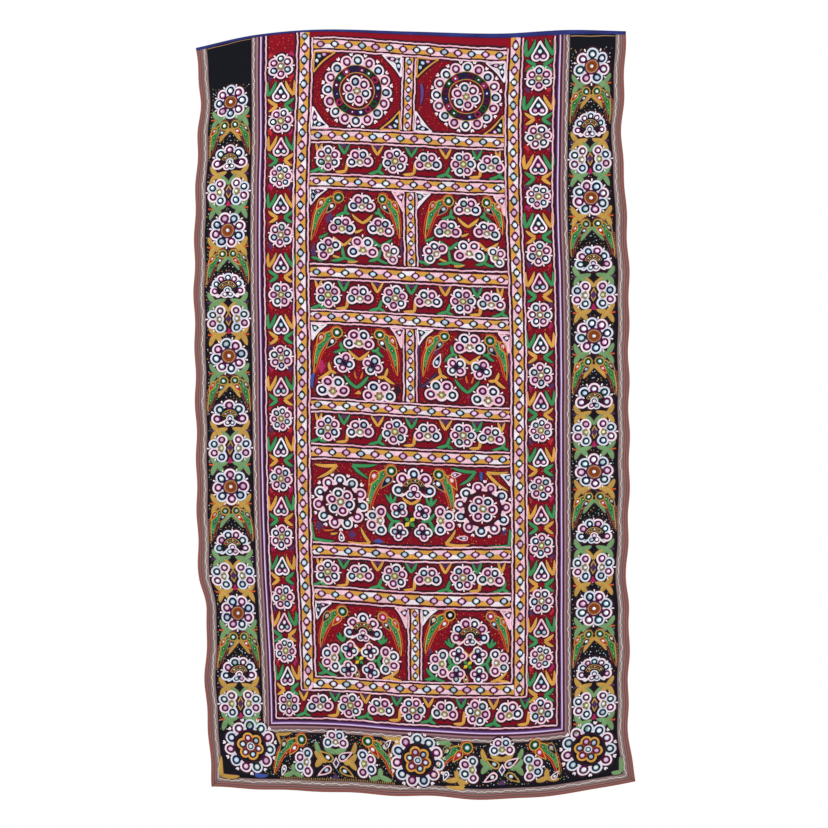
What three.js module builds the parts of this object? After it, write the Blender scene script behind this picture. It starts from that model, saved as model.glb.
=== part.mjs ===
// A mirror work wall hanging: a red ground cloth framed on three sides by ribbons,
// a black border and braids, all sewn edge to edge, with a blue binding along its top.
// The cloth hangs from its top edge in the XZ plane, its face towards -Y.
// Millimetres, +Z up. The origin is the middle of the top edge.
import * as THREE from "three";

// Driving dimensions of the flat work, before it is hung.
const WIDTH = 1075;
const LENGTH = 1910;
const BINDING = 8;
const SEAM = 0.3; // air between two pieces that are sewn edge to edge
const STEP = 46; // length of the facets that follow the folds

// The frame from the outer edge inwards: each piece's width and thickness, and its colour.
const FRAME = [
  { name: "outer_braid", width: 13, thick: 3.0, colour: 0x8a4a40, rough: 0.85 },
  { name: "outer_tape", width: 14, thick: 2.4, colour: 0x8f7a76, rough: 0.9 },
  { name: "black_border", width: 114, thick: 2.0, colour: 0x18181f, rough: 0.92 },
  { name: "inner_tape", width: 12, thick: 2.4, colour: 0x9a807c, rough: 0.9 },
  { name: "plum_ribbon", width: 10, thick: 2.2, colour: 0x5a3346, rough: 0.7 },
  { name: "lilac_ribbon", width: 10, thick: 2.2, colour: 0xc29ad0, rough: 0.6 },
];
const GROUND = { thick: 2.0, colour: 0x971426, rough: 0.88 };
const TOP = { thick: 2.8, colour: 0x33308a, rough: 0.75 };

// How the hung cloth leans out of true: sideways shift, + to the right, by the distance
// down from the top. The columns stand at the places across that LEAN_AT gives.
const LEAN_AT = { edgeL: -538, borderL: -390, fieldL: -265, fieldR: 265, borderR: 390, edgeR: 538 };
const LEAN = [
  { down: 0, edgeL: -3, borderL: -5, fieldL: -2, fieldR: -5, borderR: -1, edgeR: -3 },
  { down: 150, edgeL: 8, borderL: -5, fieldL: -5, fieldR: -12, borderR: -5, edgeR: -8 },
  { down: 260, edgeL: 2, borderL: -4, fieldL: -9, fieldR: -13, borderR: -7, edgeR: -13 },
  { down: 420, edgeL: -4, borderL: -7, fieldL: -13, fieldR: -11, borderR: -8, edgeR: -3 },
  { down: 620, edgeL: -7, borderL: -7, fieldL: -13, fieldR: -3, borderR: -2, edgeR: 5 },
  { down: 820, edgeL: -5, borderL: -4, fieldL: -10, fieldR: 2, borderR: 0, edgeR: 4 },
  { down: 1020, edgeL: -2, borderL: -2, fieldL: -10, fieldR: 2, borderR: 0, edgeR: 6 },
  { down: 1220, edgeL: 1, borderL: 2, fieldL: -7, fieldR: 4, borderR: 1, edgeR: 5 },
  { down: 1380, edgeL: 7, borderL: 8, fieldL: -3, fieldR: 5, borderR: 1, edgeR: -1 },
  { down: 1460, edgeL: 25, borderL: 13, fieldL: 1, fieldR: 5, borderR: 1, edgeR: 6 },
  { down: 1640, edgeL: 21, borderL: 21, fieldL: 6, fieldR: 3, borderR: 2, edgeR: 4 },
  { down: 1800, edgeL: 31, borderL: 25, fieldL: 10, fieldR: 4, borderR: 3, edgeR: 5 },
  { down: 1910, edgeL: 38, borderL: 30, fieldL: 14, fieldR: 6, borderR: 8, edgeR: 24 },
];

// How far each level of the cloth sags below true, + downwards, in the same way.
const SAG_AT = { edgeL: -538, borderL: -390, left: -230, centre: 0, right: 225, borderR: 390, edgeR: 538 };
const SAG = [
  { down: 0, edgeL: 41, borderL: 9, left: -5, centre: 0, right: 5, borderR: -4, edgeR: -1 },
  { down: 30, edgeL: 38, borderL: 2, left: -14, centre: 0, right: 14, borderR: 6, edgeR: 0 },
  { down: 250, edgeL: 8, borderL: -6, left: -9, centre: 0, right: 10, borderR: 8, edgeR: 2 },
  { down: 600, edgeL: -4, borderL: -9, left: -10, centre: 0, right: 10, borderR: 8, edgeR: 4 },
  { down: 930, edgeL: -8, borderL: -12, left: -13, centre: 0, right: 12, borderR: 9, edgeR: 4 },
  { down: 1290, edgeL: -12, borderL: -12, left: -12, centre: 0, right: 0, borderR: -2, edgeR: -4 },
  { down: 1440, edgeL: -14, borderL: -16, left: -16, centre: 0, right: 4, borderR: 0, edgeR: -6 },
  { down: 1640, edgeL: -14, borderL: -15, left: -13, centre: 0, right: 3, borderR: -4, edgeR: -14 },
  { down: 1735, edgeL: -15, borderL: -16, left: -15, centre: 0, right: 9, borderR: -3, edgeR: -22 },
  { down: 1910, edgeL: -21, borderL: -16, left: -9, centre: 0, right: 8, borderR: -6, edgeR: -36 },
];

// Soft folds across the whole cloth: depth, and cycles over the width and over the length.
const FOLDS = [
  { depth: 4.0, across: 1.6, down: 0.5, phase: 0.6 },
  { depth: 2.6, across: 0.7, down: 2.3, phase: 2.4 },
  { depth: 1.5, across: 3.4, down: 1.2, phase: 4.1 },
];
const HELD = 130; // the folds grow from nothing at the held top edge over this length

// Ripples of the free edges: depth and sideways swing, wavelength, and how far in they reach.
const SIDE_RIPPLE = { depth: 5.0, swing: 1.8, wave: 236, reach: 70 };
const HEM_RIPPLE = { depth: 6.0, swing: 1.6, wave: 268, reach: 90 };
// A pucker in the left border: its place, its half-lengths and its depth.
const PUCKER = { across: -470, down: 1445, halfWidth: 70, halfLength: 26, depth: 7 };

// A curve through (knots, values) at a point: cubic between knots, slopes from the neighbours.
function curveThrough(knots, values, at) {
  const last = knots.length - 1;
  const x = Math.min(Math.max(at, knots[0]), knots[last]);
  let k = 0;
  while (k < last - 1 && x > knots[k + 1]) k++;
  const slope = (i) => {
    const a = Math.max(i - 1, 0);
    const b = Math.min(i + 1, last);
    return (values[b] - values[a]) / (knots[b] - knots[a]);
  };
  const h = knots[k + 1] - knots[k];
  const u = (x - knots[k]) / h;
  const lift = u * u * (3 - 2 * u);
  return values[k] + (values[k + 1] - values[k]) * lift
    + h * u * (1 - u) * ((1 - u) * slope(k) - u * slope(k + 1));
}

// A table read at a place: down its rows first, then across its columns.
function readTable(table, columns, across, down) {
  const downs = table.map((row) => row.down);
  const atRow = Object.keys(columns).map((key) =>
    curveThrough(downs, table.map((row) => row[key]), down));
  return curveThrough(Object.values(columns), atRow, across);
}

// The folds, ripples and pucker: how far the cloth stands behind (+) or before its plane.
function relief(across, down) {
  const turn = 2 * Math.PI;
  let y = 0;
  for (const f of FOLDS) {
    const angle = turn * (f.across * across / WIDTH + f.down * down / LENGTH) + f.phase;
    y += f.depth * Math.sin(angle);
  }
  const fromSide = WIDTH / 2 - Math.abs(across);
  const side = Math.sign(across) * 0.9;
  y += SIDE_RIPPLE.depth * Math.exp(-fromSide / SIDE_RIPPLE.reach)
    * Math.sin(turn * down / SIDE_RIPPLE.wave + side);
  y += HEM_RIPPLE.depth * Math.exp((down - LENGTH) / HEM_RIPPLE.reach)
    * Math.sin(turn * across / HEM_RIPPLE.wave + 0.5);
  const u = (across - PUCKER.across) / PUCKER.halfWidth;
  const v = (down - PUCKER.down) / PUCKER.halfLength;
  y -= PUCKER.depth * Math.exp(-u * u - v * v);
  return y * (1 - Math.exp(-down / HELD));
}

// The place in the hung cloth of a point of the flat work.
function hang(across, down) {
  const turn = 2 * Math.PI;
  const fromSide = WIDTH / 2 - Math.abs(across);
  const swing = SIDE_RIPPLE.swing * Math.exp(-fromSide / SIDE_RIPPLE.reach)
    * Math.sin(turn * down / SIDE_RIPPLE.wave * 1.7);
  const lift = HEM_RIPPLE.swing * Math.exp((down - LENGTH) / HEM_RIPPLE.reach)
    * Math.sin(turn * across / HEM_RIPPLE.wave * 1.4);
  return new THREE.Vector3(
    across + readTable(LEAN, LEAN_AT, across, down) + swing,
    relief(across, down),
    -down - readTable(SAG, SAG_AT, across, down) + lift,
  );
}

// A closed sheet over a grid of flat points [row][column], each { across, down }.
function sheetGeometry(grid, thick) {
  const rows = grid.length;
  const columns = grid[0].length;
  const half = rows * columns;
  const positions = [];
  for (const side of [-1, 1]) {
    for (const row of grid) {
      for (const p of row) {
        const v = hang(p.across, p.down);
        positions.push(v.x, v.y + (side * thick) / 2, v.z);
      }
    }
  }
  const at = (i, j) => i * columns + j;
  const index = [];
  for (let i = 0; i < rows - 1; i++) {
    for (let j = 0; j < columns - 1; j++) {
      const [a, b, c, d] = [at(i, j), at(i, j + 1), at(i + 1, j), at(i + 1, j + 1)];
      index.push(a, c, d, a, d, b);
      index.push(half + a, half + d, half + c, half + a, half + b, half + d);
    }
  }
  const rim = [];
  for (let i = 0; i < rows - 1; i++) rim.push(at(i, 0));
  for (let j = 0; j < columns - 1; j++) rim.push(at(rows - 1, j));
  for (let i = rows - 1; i > 0; i--) rim.push(at(i, columns - 1));
  for (let j = columns - 1; j > 0; j--) rim.push(at(0, j));
  rim.forEach((p, k) => {
    const q = rim[(k + 1) % rim.length];
    index.push(p, half + q, q, p, half + p, half + q);
  });
  const geometry = new THREE.BufferGeometry();
  geometry.setAttribute("position", new THREE.Float32BufferAttribute(positions, 3));
  geometry.setIndex(index);
  geometry.computeVertexNormals();
  return geometry;
}

// A named piece of cloth with its own material.
function clothPiece(name, grid, { thick, colour, rough }) {
  const material = new THREE.MeshStandardMaterial({ color: colour, roughness: rough, metalness: 0 });
  const mesh = new THREE.Mesh(sheetGeometry(grid, thick), material);
  mesh.name = name;
  return mesh;
}

// Even knots from a to b, about STEP apart.
function evenKnots(a, b) {
  const n = Math.round((b - a) / STEP);
  return Array.from({ length: n + 1 }, (_, k) => a + ((b - a) * k) / n);
}

// The knots strictly between two ends.
const between = (knots, a, b) => knots.filter((k) => k > a + 1 && k < b - 1);

// Each frame piece's outer and inner edge, as distances from the hanging's outer edge.
let inset = 0;
const frame = FRAME.map((piece) => {
  const outer = inset;
  inset += piece.width;
  return { ...piece, outer, inner: inset };
});
const groundHalf = WIDTH / 2 - inset;
const groundEnd = LENGTH - inset;

// Facet lines that all the pieces share, so that their edges run side by side.
const frameLines = frame.flatMap((p) => (p.name === "black_border"
  ? [p.outer, (p.outer + p.inner) / 2]
  : [p.outer]));
const downKnots = [...evenKnots(BINDING, groundEnd), ...frameLines.map((d) => LENGTH - d).reverse()];
const sideKnots = frameLines.map((d) => WIDTH / 2 - d).reverse();
const acrossKnots = [
  ...sideKnots.map((k) => -k).reverse(),
  ...evenKnots(-groundHalf, groundHalf),
  ...sideKnots,
];

// A straight grid over the given lines.
const straightGrid = (acrosses, downs) =>
  downs.map((down) => acrosses.map((across) => ({ across, down })));

const root = new THREE.Group();
root.name = "mirror_work_wall_hanging";
const half = SEAM / 2;

root.add(clothPiece("top_binding", straightGrid(
  [-WIDTH / 2, ...between(acrossKnots, -WIDTH / 2, WIDTH / 2), WIDTH / 2],
  [0, BINDING - half],
), TOP));

root.add(clothPiece("red_ground", straightGrid(
  [-groundHalf + half, ...between(acrossKnots, -groundHalf, groundHalf), groundHalf - half],
  [BINDING + half, ...between(downKnots, BINDING, groundEnd), groundEnd - half],
), GROUND));

for (const piece of frame) {
  const outer = piece.outer + (piece.outer > 0 ? half : 0);
  const inner = piece.inner - half;
  const mitred = piece.name !== "black_border";
  // Where a side strip ends: on the mitre, or on the bottom strip's inner edge.
  const sideEnd = (fromEdge) => LENGTH - (mitred ? fromEdge : piece.inner) - half;
  const downs = between(downKnots, BINDING, LENGTH - piece.inner);
  for (const side of [-1, 1]) {
    const edges = mitred ? [outer, inner] : evenKnots(outer, inner);
    const acrosses = edges.map((d) => side * (WIDTH / 2 - d)).sort((a, b) => a - b);
    const grid = straightGrid(acrosses, [BINDING + half, ...downs]);
    grid.push(acrosses.map((across) => (
      { across, down: sideEnd(WIDTH / 2 - Math.abs(across)) })));
    root.add(clothPiece(`${piece.name}_${side < 0 ? "left" : "right"}`, grid, piece));
  }
  // The bottom strip: mitred at both ends, or the full width between the outer trims.
  const reach = (fromEdge) => WIDTH / 2 - (mitred ? fromEdge : piece.outer) - half;
  const shortest = reach(piece.inner);
  const rows = mitred ? [inner, outer] : [inner, (piece.outer + piece.inner) / 2, outer];
  const grid = rows.map((d) => [-reach(d), ...between(acrossKnots, -shortest, shortest), reach(d)]
    .map((across) => ({ across, down: LENGTH - d })));
  root.add(clothPiece(`${piece.name}_bottom`, grid, piece));
}

export default root;
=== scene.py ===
"""A mirror work wall hanging: the looks of its cloths, ribbons and embroidery.

The flat work is laid out in millimetres, across (to the right) and down (from the top
edge), and every piece is carried onto the hung cloth by the same folds as the CAD model.
"""

import logging
from collections import defaultdict
from dataclasses import dataclass, field, replace
from enum import Enum
from typing import Any, Iterable, Iterator, Protocol, Sequence

import bpy
import numpy as np
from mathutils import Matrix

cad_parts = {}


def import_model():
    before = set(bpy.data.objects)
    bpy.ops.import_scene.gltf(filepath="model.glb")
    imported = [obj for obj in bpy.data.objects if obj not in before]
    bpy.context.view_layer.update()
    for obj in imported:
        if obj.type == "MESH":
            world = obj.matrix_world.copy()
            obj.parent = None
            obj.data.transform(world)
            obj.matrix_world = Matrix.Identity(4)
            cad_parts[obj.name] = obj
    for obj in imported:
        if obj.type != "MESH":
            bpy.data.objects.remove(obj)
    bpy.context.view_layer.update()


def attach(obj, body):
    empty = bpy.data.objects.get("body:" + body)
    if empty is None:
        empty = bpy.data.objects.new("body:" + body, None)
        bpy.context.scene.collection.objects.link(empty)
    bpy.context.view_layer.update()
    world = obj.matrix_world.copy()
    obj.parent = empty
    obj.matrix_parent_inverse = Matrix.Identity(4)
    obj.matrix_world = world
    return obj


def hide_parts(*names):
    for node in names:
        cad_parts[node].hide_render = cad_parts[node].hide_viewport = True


Array = np.ndarray
Pair = tuple[float, float]
Floats = tuple[float, ...]
Rows = tuple[Floats, ...]
Node, Tree, Piece = bpy.types.Node, bpy.types.NodeTree, bpy.types.Object
LOG = logging.getLogger("mirror_work_hanging")
METRE = 0.001  # millimetres to metres
TURN = 2 * np.pi

# The lines to which the embroidery is drawn, in flat millimetres: half widths, levels.
RED_LINE, BAND_LINE, FIELD = 360.0, 284.0, 246.5
RED_FOOT, BAND_FOOT, FOOT = 1733.0, 1660.0, 1626.0
# The rows of two panels: top, bottom, and where the divider between them stands.
HALVES = ((61, 251, 0), (399, 591, 8), (739, 930, 0), (1440, 1626, 5))


# --- Colours ---


def linear(code: str) -> Array:
    """Turns an sRGB hex colour into linear light: the standard two-part gamma curve.

    Args:
        code: six hex digits, two each for red, green and blue.

    Returns:
        Three linear values from 0 to 1.
    """
    s = np.array([int(code[i : i + 2], 16) for i in (0, 2, 4)]) / 255
    return np.where(s <= 0.04045, s / 12.92, ((s + 0.055) / 1.055) ** 2.4)


class Dye(Enum):
    """The dyes of threads and cloths, and the tints of the glass, most of them painted reflections of
    the threads round it, as sRGB hex values.
    """

    RED = "860A22"
    SCARLET = "8F0C1F"
    BLACK = "18181F"
    WHITE = "FBEFF7"
    BLOOM = "F8E7F0"
    PINK = "FDCFDD"
    SHELL = "EFA6BE"
    ICE = "DDE4F2"
    OCHRE = "E0A448"
    OLD_GOLD = "C69C4C"
    GREEN = "3E9458"
    SAGE = "78A06C"
    BOTTLE = "14502F"
    NAVY = "0F1E42"
    TEAL = "0D343C"
    MAROON = "5C1048"
    WINE = "2E0518"
    INK = "1B0A16"
    CORD = "E4DAD8"
    LEAF = "3F8F46"
    PLUM = "523060"
    AUBERGINE = "45172E"
    ROSE = "9C767C"
    VIOLET = "6C3F86"
    DEEP = "3A1740"
    ORANGE = "E0602A"
    YELLOW = "EED03C"
    OLIVE = "8E8A4E"
    COPPER = "8E3F12"
    BLUE = "3A58A8"
    MAGENTA = "B0205E"
    CRIMSON = "C0252F"
    INDIGO = "26245E"
    ROYAL = "2C3B84"
    # A painted highlight: the sheen of the lilac satin, painted as a pale stripe of the ribbon.
    LILAC_HIGHLIGHT = "E2CCF2"
    DUSK = "5A3346"
    BRICK = "8A4239"
    SALMON = "A0665A"
    TAUPE = "8F7A76"
    TAN = "B08A5A"
    # Tints of the mirrors: apart from the white, painted reflections of the threads round them.
    GLASS_WHITE = "DCE3EA"
    BLUE_REFLECTION = "BBD2E4"
    GREY_REFLECTION = "A9B9C6"
    PINK_REFLECTION = "E8C4DE"
    ROSE_REFLECTION = "CDA2C0"
    GREEN_REFLECTION = "CBD6A4"

    @property
    def rgb(self) -> Array:
        """The colour in linear light."""
        return linear(self.value)


(
    RED, SCARLET, BLACK, WHITE, BLOOM, PINK, SHELL, ICE, OCHRE, OLD_GOLD, GREEN, SAGE, BOTTLE, NAVY,
    TEAL, MAROON, WINE, INK, CORD, LEAF, PLUM, AUBERGINE, ROSE, VIOLET, DEEP, ORANGE, YELLOW, OLIVE,
    COPPER, BLUE, MAGENTA, CRIMSON, INDIGO, ROYAL, LILAC_HIGHLIGHT, DUSK, BRICK, SALMON, TAUPE, TAN,
    GLASS_WHITE, BLUE_REFLECTION, GREY_REFLECTION, PINK_REFLECTION, ROSE_REFLECTION, GREEN_REFLECTION
) = Dye
Seeds = tuple[tuple[Dye, float], ...]  # the dyes of seed stitches and their shares


# --- The hung cloth ---


@dataclass(frozen=True)
class Fold:
    """A soft fold: its depth, its cycles over the width and the length, its phase."""

    depth: float
    across: float
    down: float
    phase: float


@dataclass(frozen=True)
class Ripple:
    """A ripple of a free edge: depth, sideways swing, wavelength and reach inwards."""

    depth: float
    swing: float
    wave: float
    reach: float


@dataclass(frozen=True)
class HungCloth:
    """The flat work and how it hangs: leaning lines, sagging levels, folds, ripples."""

    width: float = 1075.0
    length: float = 1910.0
    binding: float = 8.0
    held: float = 130.0
    folds: tuple[Fold, ...] = (
        Fold(4.0, 1.6, 0.5, 0.6), Fold(2.6, 0.7, 2.3, 2.4), Fold(1.5, 3.4, 1.2, 4.1)
    )
    side: Ripple = Ripple(5.0, 1.8, 236.0, 70.0)
    hem: Ripple = Ripple(6.0, 1.6, 268.0, 90.0)
    pucker: Floats = (-470.0, 1445.0, 70.0, 26.0, 7.0)  # across, down, width, height, depth
    draw: float = 0.22  # depth of the fine puckers that the stitching draws up
    # Sideways lean at these places across, one row for each distance down.
    lean_at: Floats = (-538, -390, -265, 265, 390, 538)
    lean: Rows = (
        (0, -3, -5, -2, -5, -1, -3), (150, 8, -5, -5, -12, -5, -8), (260, 2, -4, -9, -13, -7, -13),
        (420, -4, -7, -13, -11, -8, -3), (620, -7, -7, -13, -3, -2, 5), (820, -5, -4, -10, 2, 0, 4),
        (1020, -2, -2, -10, 2, 0, 6), (1220, 1, 2, -7, 4, 1, 5), (1380, 7, 8, -3, 5, 1, -1),
        (1460, 25, 13, 1, 5, 1, 6), (1640, 21, 21, 6, 3, 2, 4), (1800, 31, 25, 10, 4, 3, 5),
        (1910, 38, 30, 14, 6, 8, 24)
    )
    # Downward sag at these places across, one row for each distance down.
    sag_at: Floats = (-538, -390, -230, 0, 225, 390, 538)
    sag: Rows = (
        (0, 41, 9, -5, 0, 5, -4, -1), (30, 38, 2, -14, 0, 14, 6, 0), (250, 8, -6, -9, 0, 10, 8, 2),
        (600, -4, -9, -10, 0, 10, 8, 4), (930, -8, -12, -13, 0, 12, 9, 4),
        (1290, -12, -12, -12, 0, 0, -2, -4), (1440, -14, -16, -16, 0, 4, 0, -6),
        (1640, -14, -15, -13, 0, 3, -4, -14), (1735, -15, -16, -15, 0, 9, -3, -22),
        (1910, -21, -16, -9, 0, 8, -6, -36)
    )

    @staticmethod
    def curve(knots: Array, values: Array, at: Array) -> Array:
        """A smooth curve: cubic between knots, its slopes from the neighbouring knots.

        Args:
            knots: n rising places.
            values: n values, or one row of n values for each point of at.
            at: the places to read, held within the knots.

        Returns:
            The curve's value at each place.
        """
        last = len(knots) - 1
        x = np.clip(at, knots[0], knots[-1])
        k = np.clip(np.searchsorted(knots, x, side="left") - 1, 0, last - 1)
        before = np.maximum(np.arange(last + 1) - 1, 0)
        after = np.minimum(np.arange(last + 1) + 1, last)
        slopes = (values[..., after] - values[..., before]) / (knots[after] - knots[before])
        step = knots[k + 1] - knots[k]
        u = (x - knots[k]) / step

        def pick(table: Array, index: Array) -> Array:
            """The table's value at each index."""
            table = np.broadcast_to(table, (len(index), last + 1))
            return np.take_along_axis(table, index[:, None], -1)[:, 0]

        low, high = pick(values, k), pick(values, k + 1)
        bend = (1 - u) * pick(slopes, k) - u * pick(slopes, k + 1)
        return low + (high - low) * u * u * (3 - 2 * u) + step * u * (1 - u) * bend

    def read(self, rows: tuple, columns: tuple, across: Array, down: Array) -> Array:
        """Reads a table at each place: down its rows first, then across its columns.

        Args:
            rows: the table, each row a distance down and then its values.
            columns: the places across that the values stand for.
            across: millimetres to the right of the middle.
            down: millimetres below the top edge.

        Returns:
            The table's value at each place.
        """
        table = np.array(rows, float)
        at_row = np.stack(
            [self.curve(table[:, 0], table[:, c + 1], down) for c in range(len(columns))], -1
        )
        return self.curve(np.array(columns, float), at_row, across)

    def relief(self, across: Array, down: Array) -> Array:
        """How far the cloth stands behind its plane: sines of the folds, ripples that
        fade inwards as exp(-distance / reach), one bell-shaped pucker and fine ones.

        Args:
            across: millimetres to the right of the middle.
            down: millimetres below the top edge.

        Returns:
            Millimetres at each place.
        """
        y = np.zeros_like(across)
        for f in self.folds:
            turns = f.across * across / self.width + f.down * down / self.length
            y += f.depth * np.sin(TURN * turns + f.phase)
        edge = self.width / 2 - np.abs(across)
        phase = TURN * down / self.side.wave + 0.9 * np.sign(across)
        y += self.side.depth * np.exp(-edge / self.side.reach) * np.sin(phase)
        hem = np.exp((down - self.length) / self.hem.reach)
        y += self.hem.depth * hem * np.sin(TURN * across / self.hem.wave + 0.5)
        at, level, wide, high, deep = self.pucker
        y -= deep * np.exp(-(((across - at) / wide) ** 2) - ((down - level) / high) ** 2)
        fine = np.sin(across / 5.3 + 1.3 * np.sin(down / 17)) * np.sin(down / 6.1 + across / 23)
        fine += np.sin(across / 11.7 - down / 9.1) * np.sin(down / 14.3 + 0.7)
        return (y + self.draw * fine) * (1 - np.exp(-down / self.held))

    def place(self, across: Array, down: Array, height: Array) -> Array:
        """Carries points of the flat work onto the hung cloth.

        Args:
            across: millimetres to the right of the middle.
            down: millimetres below the top edge.
            height: millimetres in front of the middle of the cloth's thickness.

        Returns:
            (n, 3) places in metres.
        """
        edge = self.width / 2 - np.abs(across)
        swing = self.side.swing * np.exp(-edge / self.side.reach)
        swing = swing * np.sin(TURN * down / self.side.wave * 1.7)
        lift = self.hem.swing * np.exp((down - self.length) / self.hem.reach)
        lift = lift * np.sin(TURN * across / self.hem.wave * 1.4)
        x = across + self.read(self.lean, self.lean_at, across, down) + swing
        z = -down - self.read(self.sag, self.sag_at, across, down) + lift
        y = self.relief(across, down) - height
        return np.stack([x, y, z], -1) * METRE


# --- Meshes ---


@dataclass
class Batch:
    """Surfaces of one kind, gathered as grids of flat points and joined in one mesh.

    A point is (across, up, height) in millimetres, up being minus down, so that a face
    that runs anticlockwise on the flat work faces the viewer.
    """

    points: list[Array] = field(default_factory=list)
    corners: list[Array] = field(default_factory=list)
    sizes: list[Array] = field(default_factory=list)
    charts: list[Array] = field(default_factory=list)
    dyes: list[Array] = field(default_factory=list)
    count: int = 0

    def add_faces(self, flat: Array, faces: Array, chart: Array) -> None:
        """Adds faces of k corners, turned so that they face the viewer.

        Args:
            flat: (pieces, points, 3) the points that the faces index.
            faces: (faces, k) corner indexes within one piece.
            chart: (faces, k, 2) the map at the corners.
        """
        pieces = len(flat)
        ring = flat[:, faces, :2]
        after = np.roll(ring, -1, axis=2)
        area = (ring[..., 0] * after[..., 1] - ring[..., 1] * after[..., 0]).sum((1, 2))
        first = self.count + np.arange(pieces) * flat.shape[1]
        index = faces[None] + first[:, None, None]
        maps = np.broadcast_to(chart, (pieces, *chart.shape)).copy()
        away = area < 0
        index[away] = index[away][:, :, ::-1]
        maps[away] = maps[away][:, :, ::-1]
        self.corners.append(index.ravel())
        self.sizes.append(np.full(pieces * len(faces), faces.shape[1]))
        self.charts.append(maps.reshape(-1, 2))

    def add_grids(
        self, grids: Array, dyes: Array, run: Array, closed: bool = False, capped: bool = False
    ) -> None:
        """Adds surfaces, each a grid of points along and across it.

        Args:
            grids: (pieces, along, across, 3) points.
            dyes: linear colours, for each piece, each row or each point.
            run: distance along the grid, one value more than its rows if it is closed.
            closed: the last row joins the first.
            capped: the last column is filled with one face.
        """
        pieces, along, across = grids.shape[:3]
        if not pieces:
            return
        row = np.arange(along if closed else along - 1)[:, None]
        col = np.arange(across - 1)[None, :]
        after = (row + 1) % along
        quads = np.stack(
            [row * across + col, after * across + col, after * across + col + 1, row * across + col + 1],
            -1
        ).reshape(-1, 4)
        side = np.linspace(0, 1, across)
        u = np.stack([run[row] + 0 * col, run[row + 1] + 0 * col] * 2, -1)[..., [0, 1, 3, 2]]
        v = np.stack([side[col] + 0 * row, side[col + 1] + 0 * row], -1)[..., [0, 0, 1, 1]]
        flat = grids.reshape(pieces, -1, 3)
        self.add_faces(flat, quads, np.stack([u, v], -1).reshape(-1, 4, 2))
        if capped:
            cap = (np.arange(along) * across + across - 1)[None]
            self.add_faces(flat, cap, np.stack([run[:along], np.ones(along)], -1)[None])
        self.points.append(flat.reshape(-1, 3))
        for axis in range(dyes.ndim - 1, 3):
            dyes = np.expand_dims(dyes, axis)
        self.dyes.append(np.broadcast_to(dyes, grids.shape).reshape(-1, 3))
        self.count += pieces * along * across

    def build(self, name: str, cloth: HungCloth) -> Piece:
        """Joins all that was gathered into one object on the hung cloth.

        Args:
            name: the piece's name.
            cloth: the hung cloth.

        Returns:
            The object.
        """
        flat = np.concatenate(self.points)
        by_hand = flat[:, :2] + uneven_hand(flat[:, 0], flat[:, 1])
        places = cloth.place(by_hand[:, 0], -by_hand[:, 1], flat[:, 2])
        return make_object(
            name, places, np.concatenate(self.corners), np.concatenate(self.sizes),
            np.concatenate(self.charts), np.concatenate(self.dyes)
        )


def uneven_hand(across: Array, up: Array) -> Array:
    """How far hand-drawn lines stray, in millimetres: sines of waves 40 to 130 mm long.

    Args:
        across: millimetres to the right of the middle.
        up: minus the millimetres below the top edge.

    Returns:
        (n, 2) how far each point is moved.
    """
    x = 0.55 * np.sin(up / 11.3 + 1.7 * np.sin(across / 21.0)) + 0.4 * np.sin(across / 6.7)
    y = 0.55 * np.sin(across / 12.1 + 1.9 * np.sin(up / 19.0)) + 0.4 * np.sin(up / 7.3)
    return np.stack([x, y], -1)


def make_object(
    name: str, places: Array, corners: Array, sizes: Array, chart: Array, dyes: Array
) -> Piece:
    """Makes a smooth mesh object from whole arrays.

    Args:
        name: the piece's name.
        places: (n, 3) vertices in metres.
        corners: the vertex of every face corner, face after face.
        sizes: how many corners each face has.
        chart: (corners, 2) coordinates of the piece's own map.
        dyes: (n, 3) linear colour of each vertex.

    Returns:
        The object, linked to the scene.
    """
    mesh = bpy.data.meshes.new(name)
    mesh.vertices.add(len(places))
    mesh.vertices.foreach_set("co", places.astype(np.float32).ravel())
    mesh.loops.add(len(corners))
    mesh.loops.foreach_set("vertex_index", corners.astype(np.int32))
    mesh.polygons.add(len(sizes))
    starts = np.concatenate([[0], np.cumsum(sizes)[:-1]])
    mesh.polygons.foreach_set("loop_start", starts.astype(np.int32))
    mesh.update(calc_edges=True)
    layer = mesh.uv_layers.new(name="stitch")
    layer.uv.foreach_set("vector", chart.astype(np.float32).ravel())
    colour = mesh.attributes.new("dye", "FLOAT_COLOR", "POINT")
    rgba = np.ones((len(places), 4), np.float32)
    rgba[:, :3] = dyes
    colour.data.foreach_set("color", rgba.ravel())
    mesh.shade_smooth()
    if mesh.validate():
        LOG.warning("%s had faces that were mended", name)
    piece = bpy.data.objects.new(name, mesh)
    bpy.context.scene.collection.objects.link(piece)
    return piece


def triangles(piece: Piece) -> int:
    """How many triangles a piece's faces make."""
    return len(piece.data.loops) - 2 * len(piece.data.polygons)


# --- Finishes ---


def add_node(tree: Tree, kind: str, *inputs: Any, **settings: Any) -> Node:
    """Adds a node with its settings, its socket values and its links.

    Args:
        tree: the node tree.
        kind: the node's type, without its ShaderNode prefix.
        inputs: for each input in turn a value, a node or its output to link, or None; a
            last dictionary gives further inputs by name.
        settings: properties of the node.

    Returns:
        The new node.
    """
    node = tree.nodes.new("ShaderNode" + kind)
    for key, value in settings.items():
        setattr(node, key, value)
    named = inputs[-1] if inputs and isinstance(inputs[-1], dict) else {}
    for key, value in [*enumerate(inputs[: -1 if named else None]), *named.items()]:
        if isinstance(value, Node):
            value = value.outputs[0]
        if isinstance(value, bpy.types.NodeSocket):
            tree.links.new(value, node.inputs[key])
        elif value is not None:
            node.inputs[key].default_value = value
    return node


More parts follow.
